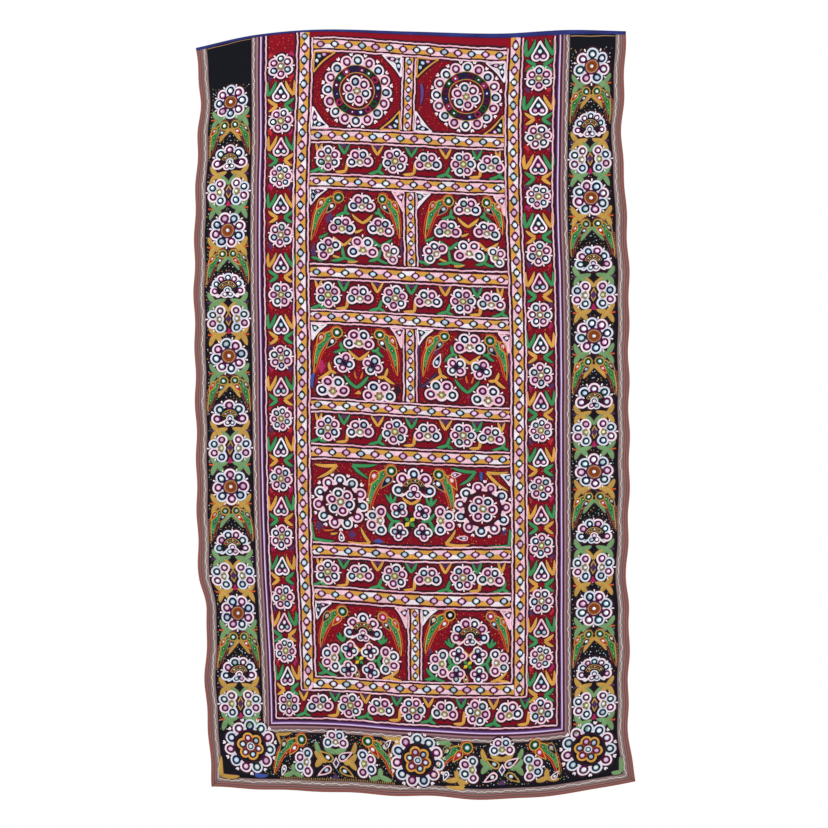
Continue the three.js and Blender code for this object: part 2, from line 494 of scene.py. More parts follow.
@dataclass(frozen=True)
class Finish:
    """What every finish has: a name, a sheen, a gloss, and a relief under its colour."""

    name: str
    depth: float = 0.4  # millimetres of relief
    roughness: float = 0.78
    sheen: float = 0.04
    lustre: float = 0.2  # specular level
    metallic: float = 0.0
    coat: float = 0.0

    def pattern(self, tree: Tree) -> tuple[Node, Node]:
        """Builds the colour and the relief; plain white paper here.

        Args:
            tree: the material's nodes.

        Returns:
            The nodes that give the colour and the height.
        """
        white = add_node(tree, "RGB")
        white.outputs[0].default_value = (0.86, 0.86, 0.86, 1)
        return white, add_node(tree, "Value")

    def noise(self, tree: Tree, scale: float, detail: float) -> Node:
        """Noise over the piece: scale over a metre is how many of its lumps lie in one."""
        where = add_node(tree, "TexCoord").outputs["Object"]
        return add_node(tree, "TexNoise", where, None, scale, detail)

    def material(self) -> bpy.types.Material:
        """Builds the node material.

        Returns:
            The material.
        """
        material = bpy.data.materials.new(self.name)
        material.use_nodes = True
        tree = material.node_tree
        tree.nodes.clear()
        colour, height = self.pattern(tree)
        bump = add_node(
            tree, "Bump", {"Height": height, "Distance": self.depth * METRE, "Strength": 0.8}
        )
        surface = add_node(tree, "BsdfPrincipled", colour, {
            "Roughness": self.roughness, "Specular IOR Level": self.lustre, "Normal": bump,
            "Sheen Weight": self.sheen, "Sheen Roughness": 0.5, "Metallic": self.metallic,
            "Coat Weight": self.coat, "Coat Roughness": 0.05,
        })
        add_node(tree, "OutputMaterial", surface)
        return material


@dataclass(frozen=True)
class ThreadFinish(Finish):
    """Stranded cotton, worked by hand: matt with a faint lustre along each strand, and furrows between
    the stitches that catch the light unevenly, their colour darkened there by painted shade.
    """

    slant: float = 1.0  # how far a stitch leans from the middle of the line to its edge
    furrow_shade: float = 0.3  # painted shade: how much darker the colour is in the furrow between two stitches

    def pattern(self, tree: Tree) -> tuple[Node, Node]:
        """Slanting stitches of strands, drawn 2 to 4 mm wide for the real 1 so that they show at all,
        with painted shade in the furrows between them, worn unevenly over about 20 mm.

        Args:
            tree: the material's nodes.

        Returns:
            The nodes that give the colour and the height.
        """
        dye = add_node(tree, "Attribute", attribute_name="dye")
        parts = add_node(tree, "SeparateXYZ", add_node(tree, "UVMap", uv_map="stitch"))
        off = add_node(tree, "Math", parts.outputs[1], 0.5, operation="SUBTRACT")
        wide = add_node(tree, "Math", off, operation="ABSOLUTE")
        lean = add_node(tree, "Math", wide, self.slant, parts, operation="MULTIPLY_ADD")
        wave = add_node(tree, "Math", lean, 0.5, operation="PINGPONG")
        strand = add_node(tree, "MapRange", wave, None, 0.34)
        # Painted shade: the colour darkens in the furrow between two stitches.
        shade = add_node(tree, "MapRange", strand, 0.0, 1.0, 1.0 - self.furrow_shade, 1.0)
        worn = add_node(tree, "MapRange", self.noise(tree, 46.0, 2.0), 0.3, 0.7, 0.88, 1.1)
        tone = add_node(tree, "Math", shade, worn, operation="MULTIPLY")
        colour = add_node(tree, "VectorMath", dye, {"Scale": tone}, operation="SCALE")
        fibre = self.noise(tree, 820.0, 3.0)
        return colour, add_node(tree, "Math", fibre, 0.35, strand, operation="MULTIPLY_ADD")


@dataclass(frozen=True)
class MirrorGlass(Finish):
    """Thin blown glass, silvered behind: bright and hard, a little uneven over about 6 mm and clouded
    over about 2 mm, tinted by the threads round it, whose painted reflection is in its colour.
    """

    def pattern(self, tree: Tree) -> tuple[Node, Node]:
        """The tint, a painted reflection of the threads round it with a painted highlight in its middle,
        under worn silvering, and the swells of blown glass.

        Args:
            tree: the material's nodes.

        Returns:
            The nodes that give the colour and the height.
        """
        tint = add_node(tree, "Attribute", attribute_name="dye")
        worn = add_node(tree, "MapRange", self.noise(tree, 480.0, 3.0), 0.35, 0.7, 0.9, 1.04)
        colour = add_node(tree, "VectorMath", tint, {"Scale": worn}, operation="SCALE")
        return colour, self.noise(tree, 160.0, 1.0)


@dataclass(frozen=True)
class ClothFinish(Finish):
    """Woven cotton, silk or wool: a matt weave of warp and weft with a soft nap.

    The dyes run evenly from 0 to 1 over the patchy dyeing, or, where the cloth has a width, across the
    strip as woven stripes; the lilac ribbon's pale stripe is a painted highlight. Its map is in
    millimetres along and across.
    """

    depth: float = 0.12
    roughness: float = 0.9
    sheen: float = 0.03
    lustre: float = 0.12
    dyes: tuple[tuple[float, Dye], ...] = ()
    width: float = 0.0  # of a striped strip
    pitch: float = 1.1  # millimetres from thread to thread, drawn coarser than the real 0.5
    twill: float = 0.0  # how far each row of the weave steps sideways

    def pattern(self, tree: Tree) -> tuple[Node, Node]:
        """Sines of warp and weft, dyed patchily over about 70 mm, its nap in tufts.

        Args:
            tree: the material's nodes.

        Returns:
            The nodes that give the colour and the height.
        """
        parts = add_node(tree, "SeparateXYZ", add_node(tree, "UVMap", uv_map="stitch"))
        across, beat = parts.outputs[1], TURN / 2 / self.pitch
        step = add_node(tree, "Math", across, self.twill, parts, operation="MULTIPLY_ADD")
        threads = []
        for run in (step, across):
            turn = add_node(tree, "Math", run, beat, operation="MULTIPLY")
            threads.append(add_node(tree, "Math", turn, operation="SINE"))
        weave = add_node(tree, "Math", *threads, operation="MULTIPLY")
        share = add_node(tree, "MapRange", self.noise(tree, 14.0, 4.0), 0.3, 0.7, 0.0, 1.0)
        if self.width:
            waver = add_node(tree, "Math", share, 0.06, -0.03, operation="MULTIPLY_ADD")
            share = add_node(tree, "Math", across, 1 / self.width, waver, operation="MULTIPLY_ADD")
        ramp = add_node(tree, "ValToRGB", share)
        stops = ramp.color_ramp.elements
        while len(stops) < len(self.dyes):
            stops.new(1.0)
        for stop, (start, dye) in zip(stops, self.dyes):
            stop.position = start
            stop.color = (*dye.rgb, 1)
        shade = add_node(tree, "MapRange", weave, -1.0, 1.0, 0.82, 1.1)
        # The dye attribute scales the colour; on the red ground it carries painted shade below the top
        # strip.
        tone = add_node(tree, "Attribute", attribute_name="dye")
        toned = add_node(tree, "VectorMath", ramp, tone, operation="MULTIPLY")
        colour = add_node(tree, "VectorMath", toned, {"Scale": shade}, operation="SCALE")
        nap = self.noise(tree, 700.0, 2.0)
        return colour, add_node(tree, "Math", nap, 0.8, weave, operation="MULTIPLY_ADD")


# --- Paths and outlines ---


class Cell(Enum):
    """The outlines that rings and mirrors are worked in."""

    ROUND, EYE, DROP, LOZENGE, TRIANGLE = range(5)

    def outline(self, count: int) -> Array:
        """The unit outline, anticlockwise, its tip or long way upwards.

        Round: (sin, cos). Eye: the width sin times root |sin| closes to two points. Drop:
        the width sin(t) sin(t/2)^1.5 closes to one point. Lozenge: signed squares of sine
        and cosine. Triangle: the polar form of a regular three-sided figure.

        Args:
            count: how many points it has.

        Returns:
            (count, 2) points.
        """
        t = TURN * np.arange(count) / count
        s, c = np.sin(t), np.cos(t)
        if self is Cell.EYE:
            return np.stack([-s * np.abs(s) ** 0.5, c], -1)
        if self is Cell.DROP:
            return np.stack([-s * np.sin(t / 2) ** 1.5, c], -1)
        if self is Cell.LOZENGE:
            return np.stack([-s * np.abs(s), c * np.abs(c)], -1)
        if self is Cell.TRIANGLE:
            third = TURN / 3
            r = 0.5 / np.cos(np.mod(t, third) - third / 2)
            return np.stack([-s * r, c * r], -1)
        return np.stack([-s, c], -1)


def resample(path: Array, step: float, closed: bool) -> tuple[Array, Array]:
    """Spaces a path's points evenly by the length of its first two columns.

    Args:
        path: (n, columns) points, with any colours in the later columns.
        step: the wanted spacing in millimetres.
        closed: the last point joins the first.

    Returns:
        The new points, and the distance run at each, with the whole length at the end.
    """
    full = np.concatenate([path, path[:1]]) if closed else path
    run = np.concatenate([[0], np.cumsum(np.linalg.norm(np.diff(full[:, :2], axis=0), axis=1))])
    pieces = max(int(round(run[-1] / step)), 3 if closed else 2)
    at = np.linspace(0, run[-1], pieces + 1)
    even = np.stack([np.interp(at, run, column) for column in full.T], -1)
    return (even[:-1] if closed else even), at


def sideways(path: Array, closed: bool) -> Array:
    """Unit vectors to the left of a path, from the points before and after each point.

    Args:
        path: (n, 2) points.
        closed: the last point joins the first.

    Returns:
        (n, 2) vectors.
    """
    if closed:
        along = np.roll(path, -1, axis=0) - np.roll(path, 1, axis=0)
    else:
        along = np.gradient(path, axis=0)
    along = along / np.maximum(np.linalg.norm(along, axis=1, keepdims=True), 1e-9)
    return np.stack([-along[:, 1], along[:, 0]], -1)


def bow(start: Sequence[float], bend: Sequence[float], end: Sequence[float], n: int = 12) -> Array:
    """A curve drawn from start to end towards bend: (1-t)^2 a + 2t(1-t) b + t^2 c.

    Args:
        start: the first point.
        bend: what the curve is drawn towards.
        end: the last point.
        n: how many points it has.

    Returns:
        (n, 2) points.
    """
    t = np.linspace(0, 1, n)[:, None]
    a, b, c = (np.array(p, float)[None] for p in (start, bend, end))
    return (1 - t) ** 2 * a + 2 * t * (1 - t) * b + t**2 * c


def arc(radius: float, first: float, last: float, n: int = 24) -> Array:
    """Part of a circle round the origin, between two angles in degrees."""
    t = np.radians(np.linspace(first, last, n))
    return radius * np.stack([np.cos(t), np.sin(t)], -1)


def scallops(angles: Array, reach: float, radius: float, core: float = 0.0) -> Array:
    """The outline round circles that stand about the origin.

    Seen from the origin the edge is the farthest of the circles, reach cos(a) plus
    root(radius^2 - reach^2 sin(a)^2), never nearer than the core, nor, between two
    neighbours less than 100 degrees apart, nearer than their middles.

    Args:
        angles: the direction of each circle in degrees.
        reach: from the origin to each circle's centre.
        radius: of the circles.
        core: radius of a circle about the origin itself.

    Returns:
        A closed path.
    """
    t = np.linspace(0, TURN, 40 * max(len(angles), 4), endpoint=False)
    off = t[:, None] - np.radians(angles)[None]
    inside = radius**2 - (reach * np.sin(off)) ** 2
    far = reach * np.cos(off) + np.sqrt(np.maximum(inside, 0))
    rho = np.maximum(np.where(inside > 0, far, 0).max(1), core)
    apart = np.sort(np.abs((off + np.pi) % TURN - np.pi), axis=1)
    webbed = apart[:, :2].sum(1) < np.radians(100)
    rho = np.where(webbed, np.maximum(rho, reach * 0.97), rho)
    return np.stack([rho * np.cos(t), rho * np.sin(t)], -1)


@dataclass(frozen=True)
class Place:
    """Where a motif is worked on the flat cloth: its middle, turn, size and handedness."""

    across: float
    down: float
    turn: float = 0.0  # degrees, anticlockwise
    size: float = 1.0
    flip: bool = False

    def lay(self, xy: Array) -> Array:
        """Takes the motif's own points, x right and y up, to (across, up) on the cloth.

        Args:
            xy: (..., 2) points in millimetres.

        Returns:
            (..., 2) points on the cloth.
        """
        p = np.asarray(xy, float) * self.size
        if self.flip:
            p = p * np.array([-1.0, 1.0])
        a = np.radians(self.turn)
        x = p[..., 0] * np.cos(a) - p[..., 1] * np.sin(a)
        y = p[..., 0] * np.sin(a) + p[..., 1] * np.cos(a)
        return np.stack([self.across + x, y - self.down], -1)

    def at(self, x: float, y: float, turn: float = 0.0, size: float = 1.0) -> "Place":
        """A place within this one.

        Args:
            x: to the right of this one's middle.
            y: above it.
            turn: in degrees, added to this one's.
            size: a share of this one's.

        Returns:
            The place.
        """
        p = self.lay(np.array([x, y]))
        whole = self.turn - turn if self.flip else self.turn + turn
        return Place(float(p[0]), -float(p[1]), whole, self.size * size, self.flip)


class Motif(Protocol):
    """Whatever a region works: each kind of motif has a stitch method of this form."""

    def stitch(self, work: "Embroidery", at: Place, how: Any, /) -> None:
        """Works the motif at its place, in the dye or the variant that how tells."""


Work = tuple[Motif, Place, Any]  # a motif, its place, and its dye or variant
HERE = Place(0, 0)


# --- Embroidery ---


class Technique(Enum):
    """How the needle works: each technique of a region becomes one joined piece."""

    FILL = ("fills", "colour_thread")
    DARK = ("dark_lines", "dark_thread")
    PALE = ("pale_lines", "white_thread")
    RING = ("rings", "dark_thread")
    GLASS = ("mirrors", "glass_mirror")
    KNOT = ("knots", "white_thread")


FILL, DARK, PALE, RING, GLASS, KNOT = Technique


# Painted reflections: a mirror is tinted after the dye of its ring, as if it reflected the threads round
# it.
PINKISH = (PINK_REFLECTION, ROSE_REFLECTION, GLASS_WHITE, PINK_REFLECTION)
BLUISH = (BLUE_REFLECTION, GLASS_WHITE, GREY_REFLECTION, GLASS_WHITE)
GREENISH = (GREEN_REFLECTION, GLASS_WHITE)
REFLECTED = {
    MAROON: PINKISH, WINE: PINKISH, MAGENTA: PINKISH, CRIMSON: PINKISH,
    PLUM: PINKISH, OLIVE: GREENISH, COPPER: (GLASS_WHITE,)
}


# Millimetres from stitch to stitch, drawn wider than the real ones so that they show.
CHAIN, HERRINGBONE, SATIN, BUTTONHOLE = 3.6, 4.2, 3.4, 2.2

# Heights of stitching: under all else, the dark backing round the motifs, partly painted shade, and the
# pale outlines over it.
LOW, BACKING, RAISED = 1.08, 1.25, 2.0

# Profiles across a stitch: shares of the way across, and of its height.
RIDGE = ((0, 0), (0.13, 1), (0.87, 1), (1, 0))
BLADE = ((0, 0), (0.07, 0.72), (0.5, 1), (0.93, 0.72), (1, 0))
PILLOW = ((0, 0), (0.12, 0.85), (0.5, 1), (0.88, 0.85), (1, 0))
COLLAR = ((0, 0), (0.16, 1), (0.76, 1), (1, 0.4))
LEVEL = ((0, 0), (0.16, 1), (0.76, 1), (1, 1))


@dataclass
class Embroidery:
    """The stitching of one region: threads, rings and mirrors laid on the flat work.

    Heights are millimetres in front of the middle of the cloth, whose face is at 0.8, so
    that every line has its foot inside the cloth. Paths and sizes are in the millimetres
    of the motif, which its place lays on the cloth.
    """

    seed: int
    foot: float = 0.35
    pales: tuple[Dye, Dye] = (BLOOM, PINK)  # of the petals, by turns
    step: float = 3.8  # spacing of the points along a line
    batches: dict[Technique, Batch] = field(default_factory=lambda: defaultdict(Batch))

    def __post_init__(self) -> None:
        """Starts the region's own random numbers, which are the same on every run."""
        self.chance = np.random.default_rng(self.seed)

    def dyed(self, dye: Dye, count: int = 1, spread: float = 0.06) -> Array:
        """A dye for each of count stitches, a little lighter or darker by chance."""
        return dye.rgb * (1 + spread * self.chance.uniform(-1, 1, (count, 1)))

    def loft(
        self, technique: Technique, a: Array, b: Array, profile: Sequence[Pair],
        top: float, dyes: Array, run: Array, closed: bool = False, full: Array | float = 1.0
    ) -> None:
        """Carries a profile along two edges: its points are a + share (b - a).

        Args:
            technique: which piece the surface joins.
            a: (n, 2) one edge on the cloth.
            b: (n, 2) the other.
            profile: the share of the way and of the height of each point across.
            top: the full height.
            dyes: linear colours, (1, 3) or (1, n, 3).
            run: distance along the edges in stitches.
            closed: they come back to their start.
            full: how much of its height it has, for each point along.
        """
        share, rise = np.array(profile, float).T
        grid = np.empty((1, len(a), len(share), 3))
        grid[0, ..., :2] = a[:, None] + (b - a)[:, None] * share[:, None]
        grid[0, ..., 2] = self.foot + (top - self.foot) * rise * np.reshape(full, (-1, 1))
        self.batches[technique].add_grids(grid, dyes, run, closed)

    def ridge(
        self, technique: Technique, xy: Array, reach: Array, top: float, dyes: Array, run: Array,
        closed: bool = False
    ) -> None:
        """Adds a half-round ridge along xy, reaching to each side, lower where narrow."""
        full = np.clip(np.linalg.norm(reach, axis=1) / 1.4, 0.5, 1.0)
        self.loft(technique, xy - reach, xy + reach, RIDGE, top, dyes, run, closed, full)

    def line(
        self, technique: Technique, at: Place, path: Array, width: float, dye: Dye, top: float,
        closed: bool = False, taper: float = 0.0, waver: float = 0.0, hues: Array | None = None,
        pitch: float = CHAIN
    ) -> None:
        """Works a line of chain stitch: a half-round ridge carried along a path.

        Args:
            technique: which piece the line joins.
            at: the motif's place.
            path: (n, 2) points.
            width: of the line.
            dye: of the thread.
            top: height of the ridge.
            closed: the path comes back to its start.
            taper: the share of an open line over which each end narrows.
            waver: how far it strays to each side, as (sine + slower sine) / 2.
            hues: (n, 3) linear colours along the path instead of one dye.
            pitch: millimetres from stitch to stitch.
        """
        laid = at.lay(path)
        base = self.dyed(dye)
        colours = np.repeat(base, len(laid), 0) if hues is None else hues
        even, run = resample(np.concatenate([laid, colours], 1), self.step, closed)
        xy, side = even[:, :2], sideways(even[:, :2], closed)
        place = run[: len(xy)]
        if waver:
            start = self.chance.uniform(0, TURN, 2)
            stray = np.sin(place / 3.1 + start[0] + np.sin(place / 17))
            stray = stray + np.sin(place / 7.9 + start[1])
            xy = xy + side * (0.5 * waver * stray)[:, None]
        half = np.full(len(xy), 0.5 * width * at.size)
        if taper and not closed:
            near = np.minimum(place, run[-1] - place) / (taper * run[-1])
            half = half * (0.25 + 0.75 * np.sqrt(np.clip(near, 0, 1)))
        reach = side * half[:, None]
        self.ridge(technique, xy, reach, top, even[None, :, 2:], run / pitch, closed)

    def leaf(self, at: Place, path: Array, widths: tuple[float, float, float], dye: Dye) -> None:
        """Works a leaf in herringbone stitch: a domed blade with a dark line round it, partly wine
        outlining and partly painted shade.

        Args:
            at: the motif's place.
            path: (n, 2) points along the middle of the blade.
            widths: at the start, at the broadest place, two fifths along, and at the end.
            dye: of the thread.
        """
        even, run = resample(at.lay(path), HERRINGBONE, False)
        start, broad, end = widths
        width = np.interp(run / run[-1], [0, 0.4, 0.8, 1], [start, broad, 0.74 * broad, end])
        half, side = (0.5 * at.size * width)[:, None], sideways(even, False)
        # The dark line is partly wine outlining and partly painted shade round the blade.
        self.ridge(DARK, even, side * (half + 3.4), 1.15, self.dyed(WINE), run / CHAIN)
        a, b = even - side * half, even + side * half
        self.loft(FILL, a, b, BLADE, 1.85, self.dyed(dye), run / HERRINGBONE)

    def patch(self, at: Place, near: Array, far: Array, dye: Dye, top: float = 1.3) -> None:
        """Fills the area between two edges with satin stitch: a low pillow between them.

        Args:
            at: the motif's place.
            near: (n, 2) points along one edge.
            far: (n, 2) points along the other, which may close to one place.
            dye: of the thread.
            top: height of the pillow's middle.
        """
        a, b = at.lay(near), at.lay(far)
        length = np.linalg.norm(np.diff(0.5 * (a + b), axis=0), axis=1)
        run = np.concatenate([[0], np.cumsum(length)]) / SATIN
        self.loft(FILL, a, b, PILLOW, top, self.dyed(dye), run)

    def lozenge(self, at: Place, wide: float, high: float, dye: Dye, top: float = 1.8) -> None:
        """Fills a lozenge with satin stitch, given its half width and half height."""
        shape = Cell.LOZENGE.outline(8) * np.array([wide, high])
        self.patch(at, shape[:5], shape[np.r_[0, 7:3:-1]], dye, top)

    def ring(
        self, at: Place, outer: Array, inner: Array, dyes: Array, top: float = 2.2,
        technique: Technique = RING
    ) -> None:
        """Works buttonhole stitch between two outlines, low at the glass.

        Args:
            at: the motif's place.
            outer: (n, 2) the outer outline.
            inner: (n, 2) the inner outline.
            dyes: linear colour of the thread, (1, 3), or (1, n, 3) round the outline.
            top: height of the stitching.
            technique: which piece the ring joins.
        """
        a, b = at.lay(outer), at.lay(inner)
        girth = np.linalg.norm(a - np.roll(a, 1, 0), axis=1).sum()
        run = np.linspace(0, round(girth / BUTTONHOLE), len(a) + 1)
        profile = COLLAR if technique is RING else LEVEL
        self.loft(technique, a, b, profile, top, dyes, run, True)

    def web(self, at: Place, path: Array, dyes: Array, share: float) -> None:
        """Fills a motif's outline inwards to a share of its size, low under its rings."""
        self.ring(at, path, path * share, dyes, LOW, PALE)

    def glass(self, at: Place, outline: Array, tint: Dye) -> None:
        """Sets a mirror: a shallow dome, tilted a little as the cloth lets it.

        Args:
            at: the place of the mirror.
            outline: (n, 2) its edge, which the ring covers.
            tint: what it reflects of the threads about it.
        """
        rim = at.lay(outline * 1.12)
        middle = rim.mean(0)
        off = (rim - middle)[:, None] * np.array([[1.0], [0.72], [0.36]])
        tilt = self.chance.uniform(-0.035, 0.035, 2)
        height = (off * tilt).sum(-1, keepdims=True) + np.array([[1.15], [1.42], [1.56]])
        grid = np.concatenate([middle + off, height], -1)[None]
        # Painted highlight: the mirror is coloured brightest in the middle of the dome and dull towards
        # its rim, in place of the bright reflection there.
        tone = np.array([[0.4], [0.78], [1.2]]) * self.dyed(tint, spread=0.1)
        colour = np.broadcast_to(np.minimum(tone, 1.0), grid.shape)
        self.batches[GLASS].add_grids(grid, colour, np.linspace(0, 1, len(rim) + 1), True, True)

    def cell(
        self, at: Place, ring: Pair, glass: Pair, dye: Dye,
        shape: Cell = Cell.ROUND, within: Cell | None = None, lower: float = 0.0, segments: int = 14
    ) -> None:
        """Works a mirror in its ring.

        Args:
            at: the place of the mirror.
            ring: half width and half height of the ring.
            glass: half width and half height of the mirror.
            dye: of the ring.
            shape: the ring's outline.
            within: the mirror's outline, or the ring's own.
            lower: how far the mirror sits below the ring's middle.
            segments: points round the outline.
        """
        outer = shape.outline(segments) * np.array(ring)
        inner = (within or shape).outline(segments) * np.array(glass) - np.array([0, lower])
        options = REFLECTED.get(dye, BLUISH)
        self.ring(at, outer, inner, self.dyed(dye))
        self.glass(at, inner, options[int(self.chance.integers(len(options)))])

    def knots(
        self, at: Place, spots: Array, radius: float, dye: Dye, top: float = 2.3,
        technique: Technique = KNOT, sides: int = 6
    ) -> None:
        """Works a knot at each spot: a dome of a few sides with a flat crown.

        Args:
            at: the motif's place.
            spots: (n, 2) where the knots stand.
            radius: of a knot.
            dye: of the thread.
            top: height of a knot.
            technique: which piece the knots join.
            sides: of a knot.
        """
        middle = at.lay(np.reshape(spots, (-1, 2)))
        count = len(middle)
        t = TURN * np.arange(sides) / sides + self.chance.uniform(0, TURN, (count, 1))
        size = radius * at.size * self.chance.uniform(0.85, 1.15, (count, 1))
        spokes = size[..., None] * np.stack([np.cos(t), np.sin(t)], -1)
        grid = np.empty((count, sides, 2, 3))
        grid[..., :2] = middle[:, None, None] + spokes[:, :, None] * np.array([[1.0], [0.55]])
        grid[..., 2] = (self.foot, top)
        run = np.linspace(0, 1, sides + 1)
        self.batches[technique].add_grids(grid, self.dyed(dye, count), run, True, True)

    def dashes(
        self, at: Place, starts: Array, ends: Array, width: float, dye: Dye, top: float = 1.5,
        technique: Technique = FILL
    ) -> None:
        """Works a straight stitch from each start to each end, sunk in at both ends.

        Args:
            at: the motif's place.
            starts, ends: (n, 2) points.
            width: of a stitch.
            dye: of the thread.
            top: height of a stitch.
            technique: which piece the stitches join.
        """
        a, b = at.lay(starts)[:, None, None], at.lay(ends)[:, None, None]
        side = (b - a)[..., ::-1] * [-1, 1]
        side = side / np.maximum(np.linalg.norm(side, axis=-1, keepdims=True), 1e-9)
        share = np.array([0.0, 0.2, 0.8, 1.0])[:, None, None]
        half = 0.5 * width * at.size * np.outer([0.5, 1.0, 1.0, 0.5], [-1, 0, 1])[..., None]
        grid = np.empty((len(a), 4, 3, 3))
        grid[..., :2] = a + (b - a) * share + side * half
        crown = np.array([0.2, top - self.foot + 0.2, 0.2])
        grid[..., 2] = self.foot + np.outer([0, 1, 1, 0], crown)
        self.batches[technique].add_grids(grid, self.dyed(dye, len(a)), np.linspace(0, 2, 4))


# --- Motifs ---


def rays(degrees: Array | float) -> Array:
    """Unit vectors in directions given in degrees, anticlockwise from the right."""
    t = np.radians(degrees)
    return np.stack([np.cos(t), np.sin(t)], -1)


@dataclass(frozen=True)
class Cluster:
    """Ringed mirrors round a middle, on pale stitching, inside one scalloped outline."""

    angles: Floats
    reach: float
    ring: float
    glass: float
    margin: float = 2.0  # from a ring's edge to the middle of the outline
    core: float = 0.0  # the outline's nearest place to the middle
    eye: float = 0.0  # radius of a small olive-ringed mirror in the middle
    stroke: float = 5.6  # the outline's width
    picots: float = 1.5  # how far the picots stand out beyond the outline, or 0 for none
    twin: bool = False  # the picots are loops of two stitches
    stem: float = 0.0  # length of a short dark stitch under the middle
    heart: float = 0.3  # how far inwards the pale stitching stops, as a share

    @property
    def span(self) -> float:
        """How far the motif reaches from its middle."""
        return self.reach + self.ring + self.margin + self.stroke

    def stitch(self, work: Embroidery, at: Place, start: int = 0) -> None:
        """Works the motif.

        Args:
            work: the embroidery.
            at: its middle and turn.
            start: even or odd, which of two dyes the first ring has.
        """
        angles = np.array(self.angles)
        radius = self.ring + self.margin
        path = scallops(angles, self.reach, radius, self.core)
        nearest = (rays(angles) @ path.T).argmax(0)
        hues = np.array([dye.rgb for dye in work.pales])[(nearest + start) % 2]
        edge = 0.5 * self.stroke + 1.4
        core = self.core + edge if self.core else 0.0
        # Wine stitching round the outline, drawn wide so that it also stands in for the shade round the
        # motif: partly painted shade.
        around = scallops(angles, self.reach, radius + edge, core)
        work.line(DARK, at, around, 7.0, WINE, BACKING, closed=True)
        work.web(at, path[::6], hues[None, ::6], self.heart)
        work.line(PALE, at, path, self.stroke, WHITE, RAISED, True, hues=hues)
        for k, angle in enumerate(self.angles):
            dye = (NAVY, MAROON)[(k + start) % 2]
            if dye is NAVY and work.chance.random() < 0.4:
                dye = TEAL
            spot = at.at(*(self.reach * rays(angle)), angle - 90)
            work.cell(spot, (self.ring, self.ring * 1.04), (self.glass, self.glass * 1.05), dye)
        if self.eye:
            work.line(FILL, at, circle(self.eye - 1.3), 2.6, TAN, 2.1, True)
            size = self.eye * 0.72
            work.cell(at, (size, size), (size * 0.64, size * 0.64), OLIVE, segments=12)
        elif len(self.angles) == 4:
            work.lozenge(at, self.reach * 0.5, self.reach * 0.5, INK, 1.5)
        if self.stem:
            foot = np.array([[0.0, -9.0]])
            work.dashes(at, foot, foot - [[0, self.stem]], 5.0, WINE, 2.3, RING)
        if self.picots:
            self.picot(work, at, np.sort(angles))

    def picot(self, work: Embroidery, at: Place, angles: Array) -> None:
        """Works a stitch, or two that part, across each cusp of the outline.

        Args:
            work: the embroidery.
            at: the motif's place.
            angles: of the mirrors in degrees, rising.
        """
        gaps = (np.roll(angles, -1) - angles) % 360
        keep = (gaps > 0) & (gaps < 100)
        middle = angles[keep] + gaps[keep] / 2
        outer = self.reach + self.ring + self.margin + 0.5 * self.stroke + self.picots
        for lean in (-3.2, 3.2) if self.twin else (0.0,):
            side = np.degrees(lean / outer)
            start, end = (outer - 8.5) * rays(middle + 0.3 * side), outer * rays(middle + side)
            work.dashes(at, start, end, 4.6, WHITE, 2.4, KNOT)


def circle(radius: float, n: int = 0) -> Array:
    """A circle round the origin, its points about 4 mm apart unless n is given."""
    return arc(radius, 0, 360, (n or max(int(radius * 1.6), 14)) + 1)[:-1]


def flower(petals: int = 6, reach: float = 19.0, turn: float = 0.0, **sizes: Any) -> Cluster:
    """A round flower of evenly spaced mirrors about a small one.

    Args:
        petals: how many mirrors stand round it.
        reach: from its middle to theirs.
        turn: in degrees.
        sizes: other fields of the cluster.

    Returns:
        The flower.
    """
    ring = min(9.2, 0.96 * reach * np.sin(TURN / 2 / petals))
    shape: dict[str, Any] = {"ring": ring, "glass": 0.48 * ring, "eye": 9.6} | sizes
    return Cluster(tuple(turn + 90 + 360 * k / petals for k in range(petals)), reach, **shape)


def fan(petals: int = 4, reach: float = 22.0, spread: float = 176.0, **sizes: Any) -> Cluster:
    """A fan of mirrors spread over the upper side of a small one.

    Args:
        petals: how many mirrors it has.
        reach: from its middle to theirs.
        spread: degrees from the first to the last.
        sizes: other fields of the cluster.

    Returns:
        The fan.
    """
    shape: dict[str, Any] = {"ring": 9.6, "glass": 4.6, "eye": 9.2, "core": 8.4} | sizes
    first = 90 + spread / 2
    angles = tuple(first - spread * k / (petals - 1) for k in range(petals))
    return Cluster(angles, reach, **shape)


